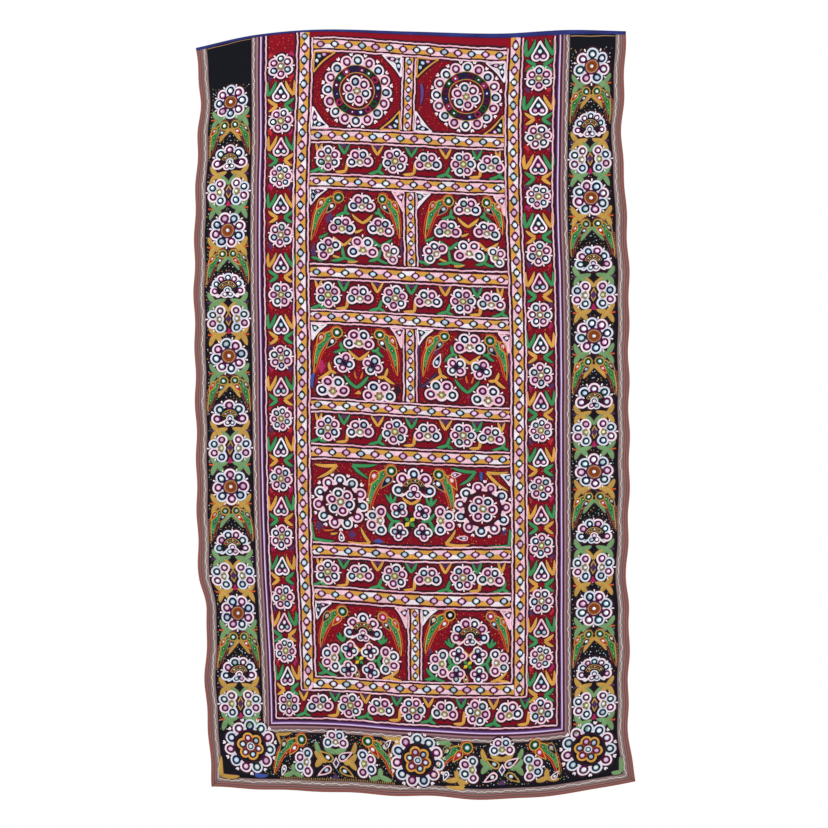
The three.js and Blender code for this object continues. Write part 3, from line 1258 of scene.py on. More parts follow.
@dataclass(frozen=True)
class Buta:
    """A heart-shaped bud: one drop over two round mirrors, its point upwards."""

    half: float = 8.6  # from the middle to each lower mirror
    lower: float = 8.0  # how far they stand below it
    ring: float = 8.4
    glass: float = 4.4
    tip: float = 27.0
    slope: Pair = (0.86, 0.51)  # the direction that the right side of the point faces

    def outline(self, grow: float = 0.0) -> Array:
        """The farther of two circles and of a wedge that runs from them to the tip.

        Args:
            grow: how far it lies outside the rim.

        Returns:
            A closed path.
        """
        centres = np.array([[-self.half, -self.lower], [self.half, -self.lower]])
        ray = rays(np.linspace(0, 360, 96, endpoint=False))
        radius = self.ring + 1.8 + grow
        along = ray @ centres.T
        inside = radius**2 - ((centres**2).sum(1) - along**2)
        rho = np.where(inside > 0, along + np.sqrt(np.maximum(inside, 0)), 0).max(1)
        for side in (-1, 1):
            facing = ray @ np.array([side * self.slope[0], self.slope[1]])
            reach = (self.tip + grow) * self.slope[1]
            wedge = np.where(facing > 0.3, reach / np.maximum(facing, 0.3), 0)
            upper = (ray[:, 1] > -0.28) & (side * ray[:, 0] >= 0)
            rho = np.where(upper, np.maximum(rho, np.minimum(wedge, self.tip + grow)), rho)
        return ray * rho[:, None]

    def stitch(self, work: Embroidery, at: Place, start: int = 0) -> None:
        """Works the bud, its drop in the first dye and its round rings in the second.

        Args:
            work: the embroidery.
            at: the motif's place.
            start: even or odd, which of two dyes the drop has.
        """
        dark = (TEAL, MAROON)
        pale = (WHITE, PINK)[start % 2]
        rim = self.outline()
        # Wine stitching round the outline, drawn wide so that it also stands in for the shade round the
        # bud: partly painted shade.
        work.line(DARK, at, self.outline(3.6), 7.0, WINE, BACKING, closed=True)
        work.web(at, rim, work.dyed(dark[start % 2]), 0.2)
        work.line(PALE, at, rim, 5.4, pale, RAISED, closed=True)
        work.cell(at.at(0, 8.8), (12.0, 13.6), (4.4, 5.2), dark[start % 2], Cell.DROP, Cell.ROUND, 4.4)
        for side in (-1, 1):
            spot = at.at(side * (self.half - 0.6), -self.lower)
            work.cell(spot, (self.ring, self.ring * 0.92), (self.glass,) * 2, dark[(start + 1) % 2])


@dataclass(frozen=True)
class Spray:
    """Leaves that part from one point; each arm is its end (x, y) and its curl, the share
    of its length by which it bows to the left.
    """

    arms: tuple[tuple[float, float, float], ...]
    width: float = 9.5
    hub: float = 0.85  # the share of the width where the leaves part
    tip: float = 0.2  # the share of the width at their ends

    def stitch(self, work: Embroidery, at: Place, dye: Dye) -> None:
        """Works the leaves in one dye.

        Args:
            work: the embroidery.
            at: the motif's place.
            dye: of the thread.
        """
        widths = (self.hub * self.width, self.width, self.tip * self.width)
        for x, y, curl in self.arms:
            bend = (0.5 * x - curl * y, 0.5 * y + curl * x)
            work.leaf(at, bow((0, 0), bend, (x, y)), widths, dye)


def spray(at: Place, x: float, y: float, dye: Dye, *ends: Pair, width: float = 9.4) -> Work:
    """Leaves from (x, y) to each end, the steep ones bowing out and the level ones down.

    Args:
        at: the place that (x, y) is measured from.
        x: to the right of it.
        y: above it.
        dye: of the leaves.
        ends: the tip of each leaf, measured from (x, y).
        width: of a leaf.

    Returns:
        The leaves, their place and their dye.
    """
    arms = []
    for a, b in ends:
        level = abs(a) > abs(b)
        arms.append((a, b, -0.12 * np.sign(a) * (1 if level else np.sign(b))))
    return Spray(tuple(arms), width), at.at(x, y), dye


def vee(spread: float = 13.0, reach: float = 22.0, curl: float = 0.2, width: float = 8.4) -> Spray:
    """Two leaves that rise from a point and part, curling outwards."""
    return Spray(((-spread, reach, -curl), (spread, reach, curl)), width, 0.7)


@dataclass(frozen=True)
class Spandrel:
    """A corner piece: a triangle of thread, hollowed towards the panel, with mirrors."""

    wide: float = 52.0
    deep: float = 54.0
    cells: int = 3

    def stitch(self, work: Embroidery, at: Place, dye: Dye) -> None:
        """Works the triangle, its right angle at the place, its legs along x and -y.

        Args:
            work: the embroidery.
            at: the corner's place.
            dye: of the rim; a pale one fills the triangle too.
        """
        w, d = self.wide, self.deep
        pale = dye in (WHITE, PINK)
        hollow = bow((w, -1), (0.42 * w, -0.42 * d), (1, -d), 12)
        top, side = np.linspace((1, -1), (w, -1), 12), np.linspace((1, -d), (1, -1), 12)
        rim = np.concatenate([top[:-1], hollow[:-1], side[:-1]])
        inner = bow((w - 4, -2), (0.42 * w, -0.42 * d), (2, 4 - d), 12)
        work.patch(at, inner, np.linspace((2, -2), (3, 4 - d), 12), dye if pale else INK, 1.2)
        work.patch(at, np.linspace((w - 4, -2), (3, -2), 12), inner, dye if pale else INK, 1.1)
        work.line(DARK, at, hollow + [3.0, -3.0], 4.6, WINE, 1.3)
        technique = PALE if pale else FILL
        work.line(technique, at, rim, 4.8, dye, 1.9, closed=True)
        work.cell(
            at.at(0.26 * w, -0.25 * d, 45), (13.0, 14.0), (4.2, 4.6),
            MAROON if dye is PINK else TEAL, Cell.TRIANGLE, Cell.ROUND
        )
        spots = ((0.56 * w, -0.16 * d, -86), (0.16 * w, -0.56 * d, 176))
        for k, (x, y, turn) in enumerate(spots[: self.cells - 1]):
            ring = (MAROON, NAVY)[k]
            work.cell(at.at(x, y, turn), (9.6, 14.5), (4.0, 4.8), ring, Cell.DROP, Cell.ROUND, 4.4)


@dataclass(frozen=True)
class Drop:
    """A drop-shaped cell with a mirror low in it and a line round it."""

    size: float = 12.5
    line: Dye = WHITE
    stroke: float = 3.4

    def stitch(self, work: Embroidery, at: Place, dye: Dye) -> None:
        """Works the drop, its tip upwards, its ring in the dye.

        Args:
            work: the embroidery.
            at: the motif's place.
            dye: of the ring.
        """
        r = self.size
        pale = self.line in (WHITE, PINK, ICE)
        rim = Cell.DROP.outline(24) * np.array([0.88 * r, 1.36 * r])
        technique = PALE if pale else FILL
        work.line(technique, at, rim, self.stroke, self.line, 1.9, closed=True)
        work.cell(at, (0.7 * r, 1.14 * r), (0.34 * r, 0.4 * r), dye, Cell.DROP, Cell.ROUND, 0.42 * r)


@dataclass(frozen=True)
class Lozenge:
    """A lozenge of satin stitch, with or without a rim and a small mirror."""

    wide: float
    high: float
    rim: Dye | None = None

    def stitch(self, work: Embroidery, at: Place, dye: Dye) -> None:
        """Works the lozenge in one dye.

        Args:
            work: the embroidery.
            at: the motif's place.
            dye: of the thread.
        """
        if self.rim:
            work.lozenge(at, self.wide + 4.0, self.high + 5.5, self.rim, BACKING)
        work.lozenge(at, self.wide, self.high, dye, 1.7 if self.rim else 1.1)
        if self.rim:
            size = 0.52 * self.wide
            work.cell(at, (size, size), (0.66 * size, 0.66 * size), dye, segments=10)


@dataclass(frozen=True)
class Parrot:
    """A parrot: a ringed head, a body that sweeps down to a pointed tail, two wings.

    The head is at the origin and the tail hangs down on the left.
    """

    head: float = 10.5
    tail: Pair = (-66.0, -106.0)
    girth: float = 9.5
    wing: float = 12.0
    crown: Dye = BOTTLE
    edge: Dye = OCHRE
    throat: Dye = ORANGE
    body: Dye = GREEN

    def stitch(self, work: Embroidery, at: Place, how: int = 0) -> None:
        """Works the head, the body with its lozenges, the outlines and the wings.

        Args:
            work: the embroidery.
            at: the head's place.
            how: 1 puts the navy wing outside and the crimson one inside.
        """
        r = self.head
        bend = (0.76 * self.tail[0], 0.08 * self.tail[1])
        spine = bow((-0.6 * r, -0.2 * r), bend, self.tail, 22)
        t = np.linspace(0, 1, 22)[:, None]
        half = self.girth * np.sin(np.pi * t**0.7) ** 0.7 * (1 - 0.3 * t) + 0.5
        side = sideways(spine, False)
        for grow, cut, dye, top in ((4.4, 1, INK, 1.05), (0.0, 3, self.body, 1.35)):
            span = slice(cut, -cut)
            reach = side * (half + grow)
            work.patch(at, (spine - reach)[span], (spine + reach)[span], dye, top)
        for sign, dye in ((-1, self.edge), (1, self.throat)):
            work.line(FILL, at, spine + sign * side * half, 3.2, dye, 1.9, taper=0.08)
            work.line(
                FILL, at, (spine + sign * side * (half + 4.4))[4:-1], 2.2, self.throat, 1.6, taper=0.2
            )
        # Lozenges down the back: where along the spine, and how much of its width they fill.
        for k, size in ((4, 0.62), (8, 0.78), (12, 0.66), (16, 0.6)):
            ahead = spine[k + 1] - spine[k]
            turn = float(np.degrees(np.arctan2(ahead[1], ahead[0]))) - 90
            spot = at.at(*spine[k], turn)
            wide = float(half[k, 0]) * size
            work.lozenge(spot, wide * 1.1, wide * 1.7, BOTTLE if k % 8 else LEAF)
            work.lozenge(spot, wide * 0.7, wide * 1.15, LEAF, 2.0)
            work.knots(spot, np.zeros((1, 2)), 1.5, WHITE, 2.4)
        work.line(DARK, at, circle(r + 3.4), 9.0, INK, 1.3, True)
        work.line(FILL, at, arc(r + 5.4, 40, 300, 26), 2.8, self.throat, 1.8, taper=0.1)
        work.line(FILL, at, circle(r + 1.8), 3.4, self.edge, 2.2, True)
        beak = np.array([[r + 3.0, 2.0], [r + 2.0, -4.0]])
        work.dashes(at, beak, beak + [[7.0, -2.0], [4.0, -7.0]], 3.4, self.throat, 1.8)
        work.cell(at, (r, r), (r * 0.46, r * 0.46), self.crown)
        wings = (NAVY, CRIMSON) if how else (CRIMSON, NAVY)
        size, (x, y) = self.wing, spine[7]
        spots = (at.at(x - size, y - 0.2 * size, 150), at.at(x + size, y - 0.75 * size, 140))
        for spot, dye in zip(spots, wings):
            Drop(size, OCHRE if dye is CRIMSON else TAN, 2.8).stitch(work, spot, dye)


def bird(
    head: Pair, tail: Pair, size: float = 10.5, how: int = 0, crown: Dye = BOTTLE, wing: float = 1.2
) -> Work:
    """A parrot at its head's place, its tail to the left, or to the right where it is.

    Args:
        head: across and down.
        tail: how far the tail's end is to the right of the head, and above it.
        size: radius of the head.
        how: 1 changes the wings about.
        crown: dye of the head.
        wing: size of a wing over the head's radius.

    Returns:
        The parrot, its place and its variant.
    """
    flip = tail[0] > 0
    body = Parrot(size, (-abs(tail[0]), tail[1]), 0.9 * size, wing * size, crown)
    return body, Place(*head, 0, 1.0, flip), how


@dataclass(frozen=True)
class Star:
    """Four lozenges that meet in a point, on a dark ground."""

    reach: float = 12.0

    def stitch(self, work: Embroidery, at: Place, how: int = 0) -> None:
        """Works the ground and the lozenges, two in each dye.

        Args:
            work: the embroidery.
            at: the motif's place.
            how: not used.
        """
        work.lozenge(at, self.reach * 1.5, self.reach * 1.6, INK, 1.1)
        for k in range(4):
            spot = at.at(0, 0, 90 * k + 45).at(0, self.reach * 0.52)
            work.lozenge(spot, self.reach * 0.38, self.reach * 0.52, (LEAF, YELLOW)[k % 2])


@dataclass(frozen=True)
class Wedge:
    """A triangle of satin stitch between the place and two other corners."""

    a: Pair
    b: Pair

    def stitch(self, work: Embroidery, at: Place, dye: Dye) -> None:
        """Works the triangle in one dye."""
        work.patch(at, np.linspace((0, 0), self.a, 6), np.linspace((0, 0), self.b, 6), dye, 1.2)


@dataclass(frozen=True)
class Arch:
    """A high fan over a dotted arch and a small clover of three mirrors."""

    petals: int = 5
    reach: float = 34.0
    ring: float = 9.8
    clover: float = 6.6
    spread: float = 187.0

    @property
    def span(self) -> float:
        """How far the motif reaches from its middle."""
        return self.reach + self.ring + 7.0

    def stitch(self, work: Embroidery, at: Place, how: int = 0) -> None:
        """Works the fan, the dots under it and the clover.

        Args:
            work: the embroidery.
            at: the motif's place.
            how: even or odd, which of two dyes the first ring has.
        """
        sizes = {"ring": self.ring, "glass": 0.49 * self.ring, "eye": 0, "core": 0, "heart": 0.72}
        fan(self.petals, self.reach, self.spread, **sizes).stitch(work, at, how)
        inner = self.reach - self.ring
        work.line(DARK, at, arc(inner - 9.0, 190, -10, 18), 20.0, INK, 1.3)
        for radius in (inner - 0.8, inner - 9.2):
            work.line(FILL, at, arc(radius, 160, 20, 16), 2.4, OLD_GOLD, 1.7)
        dots = (inner - 5.0) * rays(np.linspace(158, 22, 12))
        for k, dye in enumerate((OLD_GOLD, CRIMSON, WHITE, GREEN)):
            work.knots(at, dots[k::4], 2.4, dye, 2.1, FILL)
        low = at.at(0, -0.24 * self.reach)
        sizes = {"ring": self.clover, "glass": 0.56 * self.clover, "margin": 1.6, "stroke": 4.2}
        flower(3, 1.15 * self.clover, eye=0, picots=0, **sizes).stitch(work, low, how + 1)


@dataclass(frozen=True)
class Round:
    """Six mirrors in ochre scallops round a white-ringed one."""

    reach: float = 21.0  # from the middle to each mirror
    lobe: float = 11.6  # radius of a scallop

    def stitch(self, work: Embroidery, at: Place, how: int = 0) -> None:
        """Works the scallops, the six rings and the middle.

        Args:
            work: the embroidery.
            at: the motif's place.
            how: not used.
        """
        angles = np.arange(30, 390, 60)
        rim = scallops(angles, self.reach, self.lobe)
        work.web(at, rim, work.dyed(COPPER), 0.3)
        work.line(FILL, at, rim, 6.0, OCHRE, 1.8, closed=True)
        for k, angle in enumerate(angles):
            spot = at.at(*(self.reach * rays(angle)), angle - 90)
            work.cell(spot, (8.8, 9.2), (5.0, 5.2), (NAVY, MAROON)[k % 2])
        work.line(PALE, at, circle(9.0), 3.2, ICE, 2.2, True)
        work.cell(at, (7.6, 7.6), (4.8, 4.8), TEAL, segments=12)


@dataclass(frozen=True)
class Medallion:
    """A round of many mirrors about a dark circle and a flower."""

    petals: int
    reach: float
    ring: float
    glass: float
    core: Motif = flower(6, 21.5, ring=10.0)
    circle: float = 42.0  # radius of the dark circle
    studs: int = 0  # coloured cells between the circle and the flower

    @property
    def span(self) -> float:
        """How far the motif reaches from its middle."""
        return self.reach + self.ring + 9.0

    def stitch(self, work: Embroidery, at: Place, how: int = 0) -> None:
        """Works the outer round, the circle and the flower inside it.

        Args:
            work: the embroidery.
            at: the motif's place.
            how: even or odd, which of two dyes the first ring has.
        """
        sizes = {"ring": self.ring, "glass": self.glass, "margin": 1.8, "eye": 0, "picots": 3.5}
        flower(self.petals, self.reach, twin=True, heart=0.74, **sizes).stitch(work, at, how)
        c = self.circle
        if self.studs:
            work.line(DARK, at, circle(c - 8.5), 24.0, INK, 1.5, True)
            work.line(FILL, at, circle(c - 17.5), 2.6, OLD_GOLD, 1.8, True)
            for k in range(self.studs):
                spot = at.at(*((c - 8.7) * rays(360 * (k + 0.5) / self.studs)))
                dye = (INDIGO, MAGENTA, BOTTLE, MAROON)[k % 4]
                work.cell(spot, (9.2, 9.2), (4.3, 4.3), dye, segments=10)
        else:
            work.line(DARK, at, circle(c), 6.4, WINE, 1.6, True)
        work.line(FILL, at, circle(c + 1.4), 2.2, OLD_GOLD, 1.9, True)
        self.core.stitch(work, at.at(0, 0, 14), how)


@dataclass(frozen=True)
class CopperFlower:
    """A flower of large mirrors round a copper disc with an orange ring."""

    petals: int = 8
    span: float = 50.0  # how far it reaches from its middle
    discs: tuple[tuple[float, float, Dye, float], ...] = (  # radius, width, dye and height
        (18.2, 4.2, MAROON, 1.9), (11.0, 8.0, COPPER, 2.1), (15.0, 3.8, TAN, 2.4),
        (9.0, 2.0, WINE, 2.4)
    )

    def stitch(self, work: Embroidery, at: Place, how: int = 0) -> None:
        """Works the flower, the disc, its rings and its mirror.

        Args:
            work: the embroidery.
            at: the motif's place.
            how: even or odd, which of two dyes the first ring has.
        """
        flower(self.petals, 31.0, ring=11.0, glass=5.6, eye=0.0, heart=0.52).stitch(work, at, how)
        for radius, width, dye, top in self.discs:
            work.line(FILL, at, circle(radius, 22), width, dye, top, True)
        work.cell(at, (7.6, 7.6), (4.4, 4.4), COPPER, segments=12)


@dataclass(frozen=True)
class Rungs:
    """A ladder of short stitches beside a line that runs to the right."""

    length: float
    pitch: float = 4.4
    high: float = 6.0

    def stitch(self, work: Embroidery, at: Place, dye: Dye) -> None:
        """Works the stitches, in the dye and in tan by turns.

        Args:
            work: the embroidery.
            at: the left end of the line.
            dye: of every other stitch.
        """
        x = np.arange(0, self.length, self.pitch)
        start = np.stack([x, np.full(len(x), -self.high / 2)], -1)
        for k, hue in enumerate((dye, TAN)):
            work.dashes(at, start[k::2], start[k::2] + [[0, self.high]], 2.4, hue, 1.6)


QUAD = Cluster((45.0, 135.0, 225.0, 315.0), 12.8, 9.4, 4.8)
SMALL = Cluster((42.0, 138.0, 222.0, 318.0), 10.6, 8.2, 4.2, margin=1.8, stroke=5.2, picots=0)


# --- The pieces of cloth ---


@dataclass(frozen=True)
class Strip:
    """A cloth, tape, ribbon or braid of the frame, from the outer edge inwards."""

    name: str
    width: float
    thick: float
    slot: str
    finish: ClothFinish
    crown: float = 0.0  # how much prouder its middle stands than its edges
    mitred: bool = True


BINDING = Strip(
    "top_binding", 0.0, 2.4, "blue_cotton",
    ClothFinish("blue_cotton_binding", roughness=0.75, dyes=((0.0, INDIGO), (1.0, ROYAL))), crown=0.5
)
GROUND = Strip(
    "red_ground", 0.0, 1.8, "red_cotton",
    ClothFinish("red_cotton_ground", dyes=((0.0, RED), (1.0, SCARLET)))
)
STRIPS = (
    Strip(
        "outer_braid", 13.0, 2.6, "red_brown_braid",
        ClothFinish(
            "braided_wool_cord", 0.5, width=13.0, pitch=2.2, twill=1.0,
            dyes=(
                (0.0, BRICK), (0.16, SALMON), (0.34, BRICK), (0.5, TAUPE), (0.62, DUSK), (0.8, SALMON),
                (1.0, TAUPE)
            )
        ),
        crown=0.5
    ),
    Strip(
        "outer_tape", 14.0, 2.0, "grey_pink_tape",
        ClothFinish(
            "woven_cotton_tape", width=14.0, pitch=1.4,
            dyes=((0.0, DUSK), (0.15, TAUPE), (0.86, TAUPE), (1.0, DUSK))
        ),
        crown=0.2
    ),
    Strip(
        "black_border", 114.0, 1.7, "black_wool",
        ClothFinish(
            "fulled_black_wool", sheen=0.01, lustre=0.04, pitch=1.2, twill=1.0,
            dyes=((0.0, BLACK), (1.0, BLACK))
        ),
        mitred=False
    ),
    Strip(
        "inner_tape", 12.0, 2.0, "grey_pink_tape",
        ClothFinish(
            "narrow_cotton_tape", width=12.0, pitch=1.4,
            dyes=((0.0, DUSK), (0.15, TAUPE), (0.6, TAUPE), (1.0, DUSK))
        ),
        crown=0.2
    ),
    Strip(
        "plum_ribbon", 10.0, 1.9, "plum_silk",
        ClothFinish(
            "plum_silk_ribbon", 0.08, 0.55, width=10.0, pitch=1.0,
            dyes=((0.0, ROSE), (0.4, ROSE), (0.52, AUBERGINE), (1.0, AUBERGINE))
        ),
        crown=0.3
    ),
    Strip(
        "lilac_ribbon", 10.0, 1.9, "lilac_silk",
        ClothFinish(
            "lilac_silk_ribbon", 0.08, 0.5, width=10.0, pitch=1.0,
            # The pale lilac stripe is a painted highlight of the satin's sheen.
            dyes=((0.0, LILAC_HIGHLIGHT), (0.26, LILAC_HIGHLIGHT), (0.36, VIOLET), (0.6, VIOLET), (0.7, DEEP), (1.0, DEEP))
        ),
        crown=0.3
    )
)


@dataclass
class FramedCloth:
    """The red ground, its binding and the strips that frame it on three sides."""

    cloth: HungCloth
    seam: float = 0.06  # left open between two pieces
    weave: float = 10.0  # spacing of the points of the cloth
    pieces: list[Piece] = field(default_factory=list)

    def sheet(
        self, kind: Strip, word: str, across: Array, down: Array, chart: Array, flat: Pair
    ) -> None:
        """Its face and its back are the same grid of flat points, half the thickness before
        and behind the middle; the face also rises by crown (1 - (2v - 1)^2) across it.

        Args:
            kind: the cloth.
            word: what follows its name in the CAD node, which the piece replaces.
            across, down: (rows, columns) flat places.
            chart: (rows, columns, 2) the map in millimetres.
            flat: the cut's width and length in millimetres, turned into metres but not used further.
        """
        rows, columns = across.shape
        front = 0.5 * kind.thick + kind.crown * (1 - np.linspace(-1, 1, columns) ** 2)
        places = [
            self.cloth.place(across.ravel(), down.ravel(), np.broadcast_to(y, across.shape).ravel())
            for y in (front, -0.5 * kind.thick)
        ]
        row, col = np.arange(rows - 1)[:, None], np.arange(columns - 1)[None]
        at = (row * columns + col).ravel()
        quads = np.stack([at, at + columns, at + columns + 1, at + 1], -1)
        half = rows * columns
        grid = np.arange(half).reshape(rows, columns)
        rim = np.concatenate([grid[:-1, 0], grid[-1, :-1], grid[:0:-1, -1], grid[0, :0:-1]])
        after = np.roll(rim, -1)
        wall = np.stack([rim, rim + half, after + half, after], -1)
        faces = np.concatenate([quads, quads[:, ::-1] + half, wall])
        maps = np.concatenate([chart.reshape(-1, 2)] * 2)[faces.ravel()]
        # Painted shade: the red ground is darker below the strip under its top edge, standing in for the
        # shade among the stitching; that strip and the other cloths keep their full dye.
        lift_from_painted_shade = 0.22 * np.exp(-((down / 60) ** 2)) if kind is GROUND else 0.22
        tone = np.repeat((0.78 + lift_from_painted_shade + 0 * down).reshape(-1, 1), 3, axis=1)
        piece = make_object(
            f"{kind.name}{word}_cloth", np.concatenate(places), faces.ravel(), np.full(len(faces), 4),
            maps, np.concatenate([tone, tone])
        )
        piece.data.materials.append(kind.finish.material())
        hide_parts(kind.name + word)
        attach(piece, "root")
        width, length = (max(side, 10.0) * METRE for side in flat)
        self.pieces.append(piece)

    def build(self) -> list[Piece]:
        """Makes the binding, the ground and every strip on its three sides.

        Returns:
            The pieces of cloth.
        """
        c, half = self.cloth, 0.5 * self.seam
        inset = sum(strip.width for strip in STRIPS)
        self.plain(BINDING, c.width / 2, (0, c.binding - half), 3)
        edge, low = c.width / 2 - inset - half, c.length - inset - half
        self.plain(GROUND, edge, (c.binding + half, low), int(round(low / self.weave)) + 1)
        outer = 0.0
        for strip in STRIPS:
            self.frame(strip, outer)
            outer += strip.width
        return self.pieces

    def plain(self, kind: Strip, reach: float, ends: Pair, rows: int) -> None:
        """Makes a rectangular piece, its sides at -reach and reach, between two levels.

        Args:
            kind: the cloth.
            reach: from the middle to each side.
            ends: the upper and the lower level.
            rows: how many rows of points it has.
        """
        columns = int(round(2 * reach / self.weave)) + 1
        across, down = np.meshgrid(np.linspace(-reach, reach, columns), np.linspace(*ends, rows))
        self.sheet(kind, "", across, down, np.stack([across, down], -1), (2 * reach, ends[1] - ends[0]))

    def frame(self, strip: Strip, outer: float) -> None:
        """Makes one strip's left, right and bottom pieces, mitred or butted at the foot.

        Args:
            strip: the strip.
            outer: how far its outer edge is from the hanging's edge.
        """
        c, half = self.cloth, 0.5 * self.seam
        first = outer + (half if outer else 0.0)
        last = outer + strip.width - half
        columns = 5 if strip.width < 30 else int(strip.width / self.weave) + 1
        from_edge = np.linspace(first, last, columns)
        butt, top = c.length - outer - strip.width - half, c.binding + half
        u = np.linspace(0, 1, int(butt / self.weave))[:, None]
        for side, word in ((-1, "_left"), (1, "_right")):
            inwards = from_edge if side < 0 else from_edge[::-1]
            foot = c.length - inwards - half if strip.mitred else np.full(columns, butt)
            down = top + (foot - top)[None] * u
            across = np.broadcast_to(side * (c.width / 2 - inwards), down.shape)
            chart = np.stack([down, np.broadcast_to(inwards - outer, down.shape)], -1)
            flat = (strip.width, float(foot.mean()) - top)
            self.sheet(strip, word, across, down, chart, flat)
        reach = c.width / 2 - (from_edge if strip.mitred else outer) - half
        reach = np.broadcast_to(reach, from_edge.shape)[::-1, None]
        across = reach * np.linspace(-1, 1, int(c.width / self.weave))
        inwards = np.broadcast_to(from_edge[::-1, None], across.shape)
        chart = np.stack([across, inwards - outer], -1)
        flat = (2 * float(reach.mean()), strip.width)
        self.sheet(strip, "_bottom", across, c.length - inwards, chart, flat)


# --- The embroidered regions ---


@dataclass(frozen=True)
class Region:
    """A part of the embroidery: its motifs, each with its place and its dye or variant,
    on grounds sown with seed stitches. Each technique becomes one joined piece.
    """

    name: str
    grounds: Rows = ()  # left, right, top, foot
    pitch: float = 8.0  # from seed to seed
    seeds: Seeds = ((CRIMSON, 0.52), (ORANGE, 0.3), (MAGENTA, 0.12), (OLD_GOLD, 0.06))
    pales: tuple[Dye, Dye] = (BLOOM, PINK)

    def works(self) -> Iterable[Work]:
        """Its motifs in the order in which they are worked."""
        return []

    def stitch(self, work: Embroidery) -> None:
        """Sows the grounds, clear of the great motifs, and works every motif.

        Args:
            work: the embroidery.
        """
        works = list(self.works())
        clear = [(p.across, p.down, m.span) for m, p, _ in works if hasattr(m, "span")]
        for ground in self.grounds:
            self.sow(work, ground, np.array(clear))
        for motif, at, how in works:
            motif.stitch(work, at, how)

    def sow(self, work: Embroidery, ground: Floats, clear: Array) -> None:
        """Sows seed stitches over a rectangle, each a little off an even grid.

        Args:
            work: the embroidery.
            ground: left, right, top and foot.
            clear: (n, 3) across, down and radius of each motif.
        """
        left, right, top, low = ground
        grid = np.meshgrid(np.arange(left, right, self.pitch), np.arange(top, low, self.pitch))
        spots = np.stack(grid, -1).reshape(-1, 2)
        spots = spots + 0.4 * self.pitch * work.chance.uniform(-1, 1, spots.shape)
        off = np.linalg.norm(spots[:, None] - clear[None, :, :2], axis=-1)
        spots = spots[(off > clear[:, 2]).all(1)] * [1, -1]
        pick = work.chance.choice(len(self.seeds), len(spots), p=[s for _, s in self.seeds])
        for k, (dye, _) in enumerate(self.seeds):
            work.knots(HERE, spots[pick == k], 0.27 * self.pitch, dye, LOW, FILL, 4)

    def build(self, seed: int, cloth: HungCloth, materials: dict[Technique, bpy.types.Material]) -> int:
        """Works the region, joins its stitching into pieces and dresses them.

        Args:
            seed: of the region's random numbers.
            cloth: what it is worked on.
            materials: one for each technique.

        Returns:
            How many triangles the pieces have.
        """
        work, total = Embroidery(seed, pales=self.pales), 0
        self.stitch(work)
        for technique, batch in work.batches.items():
            word, slot = technique.value
            piece = batch.build(f"{self.name}_{word}", cloth)
            piece.data.materials.append(materials[technique])
            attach(piece, "root")
            LOG.info("%s: %d triangles", piece.name, triangles(piece))
            total += triangles(piece)
        return total


def u_path(reach: float, top: float, low: float, n: int = 80) -> Array:
    """Down one side, along the foot and up the other: three straight legs of n points."""
    corners = np.array([(-reach, -top), (-reach, -low), (reach, -low), (reach, -top)])
    return np.concatenate([np.linspace(a, b, n) for a, b in zip(corners[:-1], corners[1:])])


@dataclass(frozen=True)
class DrawnLines(Region):
    """The wavering pink and white lines between the bands, each edged with dark thread."""

    name: str = "drawn_lines"
    width: float = 4.2
    dark: float = 16.5
    beside: float = 15.5  # from the middle of a divider to the line on each side of it
    levels: Floats = (
        29, 61, 251, 285, 365, 399, 591, 629, 706, 739, 930, 962.5, 1044, 1080, 1289, 1326, 1402, 1440
    )

    def route(self, work: Embroidery, path: Array) -> None:
        """Works one line, its thread going from pale to deep pink and back.

        Args:
            work: the embroidery.
            path: (n, 2) points, across and up.
        """
        run = 20.0 * np.arange(len(path))
        share = 0.5 + 0.5 * np.sin(run / 31 + work.chance.uniform(0, TURN))
        share = share * work.chance.uniform(0.3, 1.0, len(path))
        hues = PINK.rgb + (SHELL.rgb - PINK.rgb) * share[:, None]
        work.line(DARK, HERE, path, self.dark, WINE, 1.15, waver=0.4, pitch=4.5)
        work.line(PALE, HERE, path, self.width, WHITE, RAISED, waver=0.9, hues=hues, pitch=4.5)

    def stitch(self, work: Embroidery) -> None:
        """Works the three lines round the field, those across it and the dividers'.

        Args:
            work: the embroidery.
        """
        for reach, top, low in ((RED_LINE, 9, RED_FOOT), (BAND_LINE, 9, BAND_FOOT), (FIELD, 29, FOOT)):
            self.route(work, u_path(reach, top, low))
        for level in self.levels:
            self.route(work, np.linspace((4 - FIELD, -level), (FIELD - 4, -level), 25))
        for top, low, middle in HALVES:
            for x in (middle - self.beside, middle + self.beside):
                self.route(work, np.linspace((x, -top - 5), (x, 5 - low), 10))
        path = u_path(RED_LINE + 7.5, 9, RED_FOOT + 1.5)
        work.line(DARK, HERE, path, 5.0, WINE, 1.5, pitch=4.5)


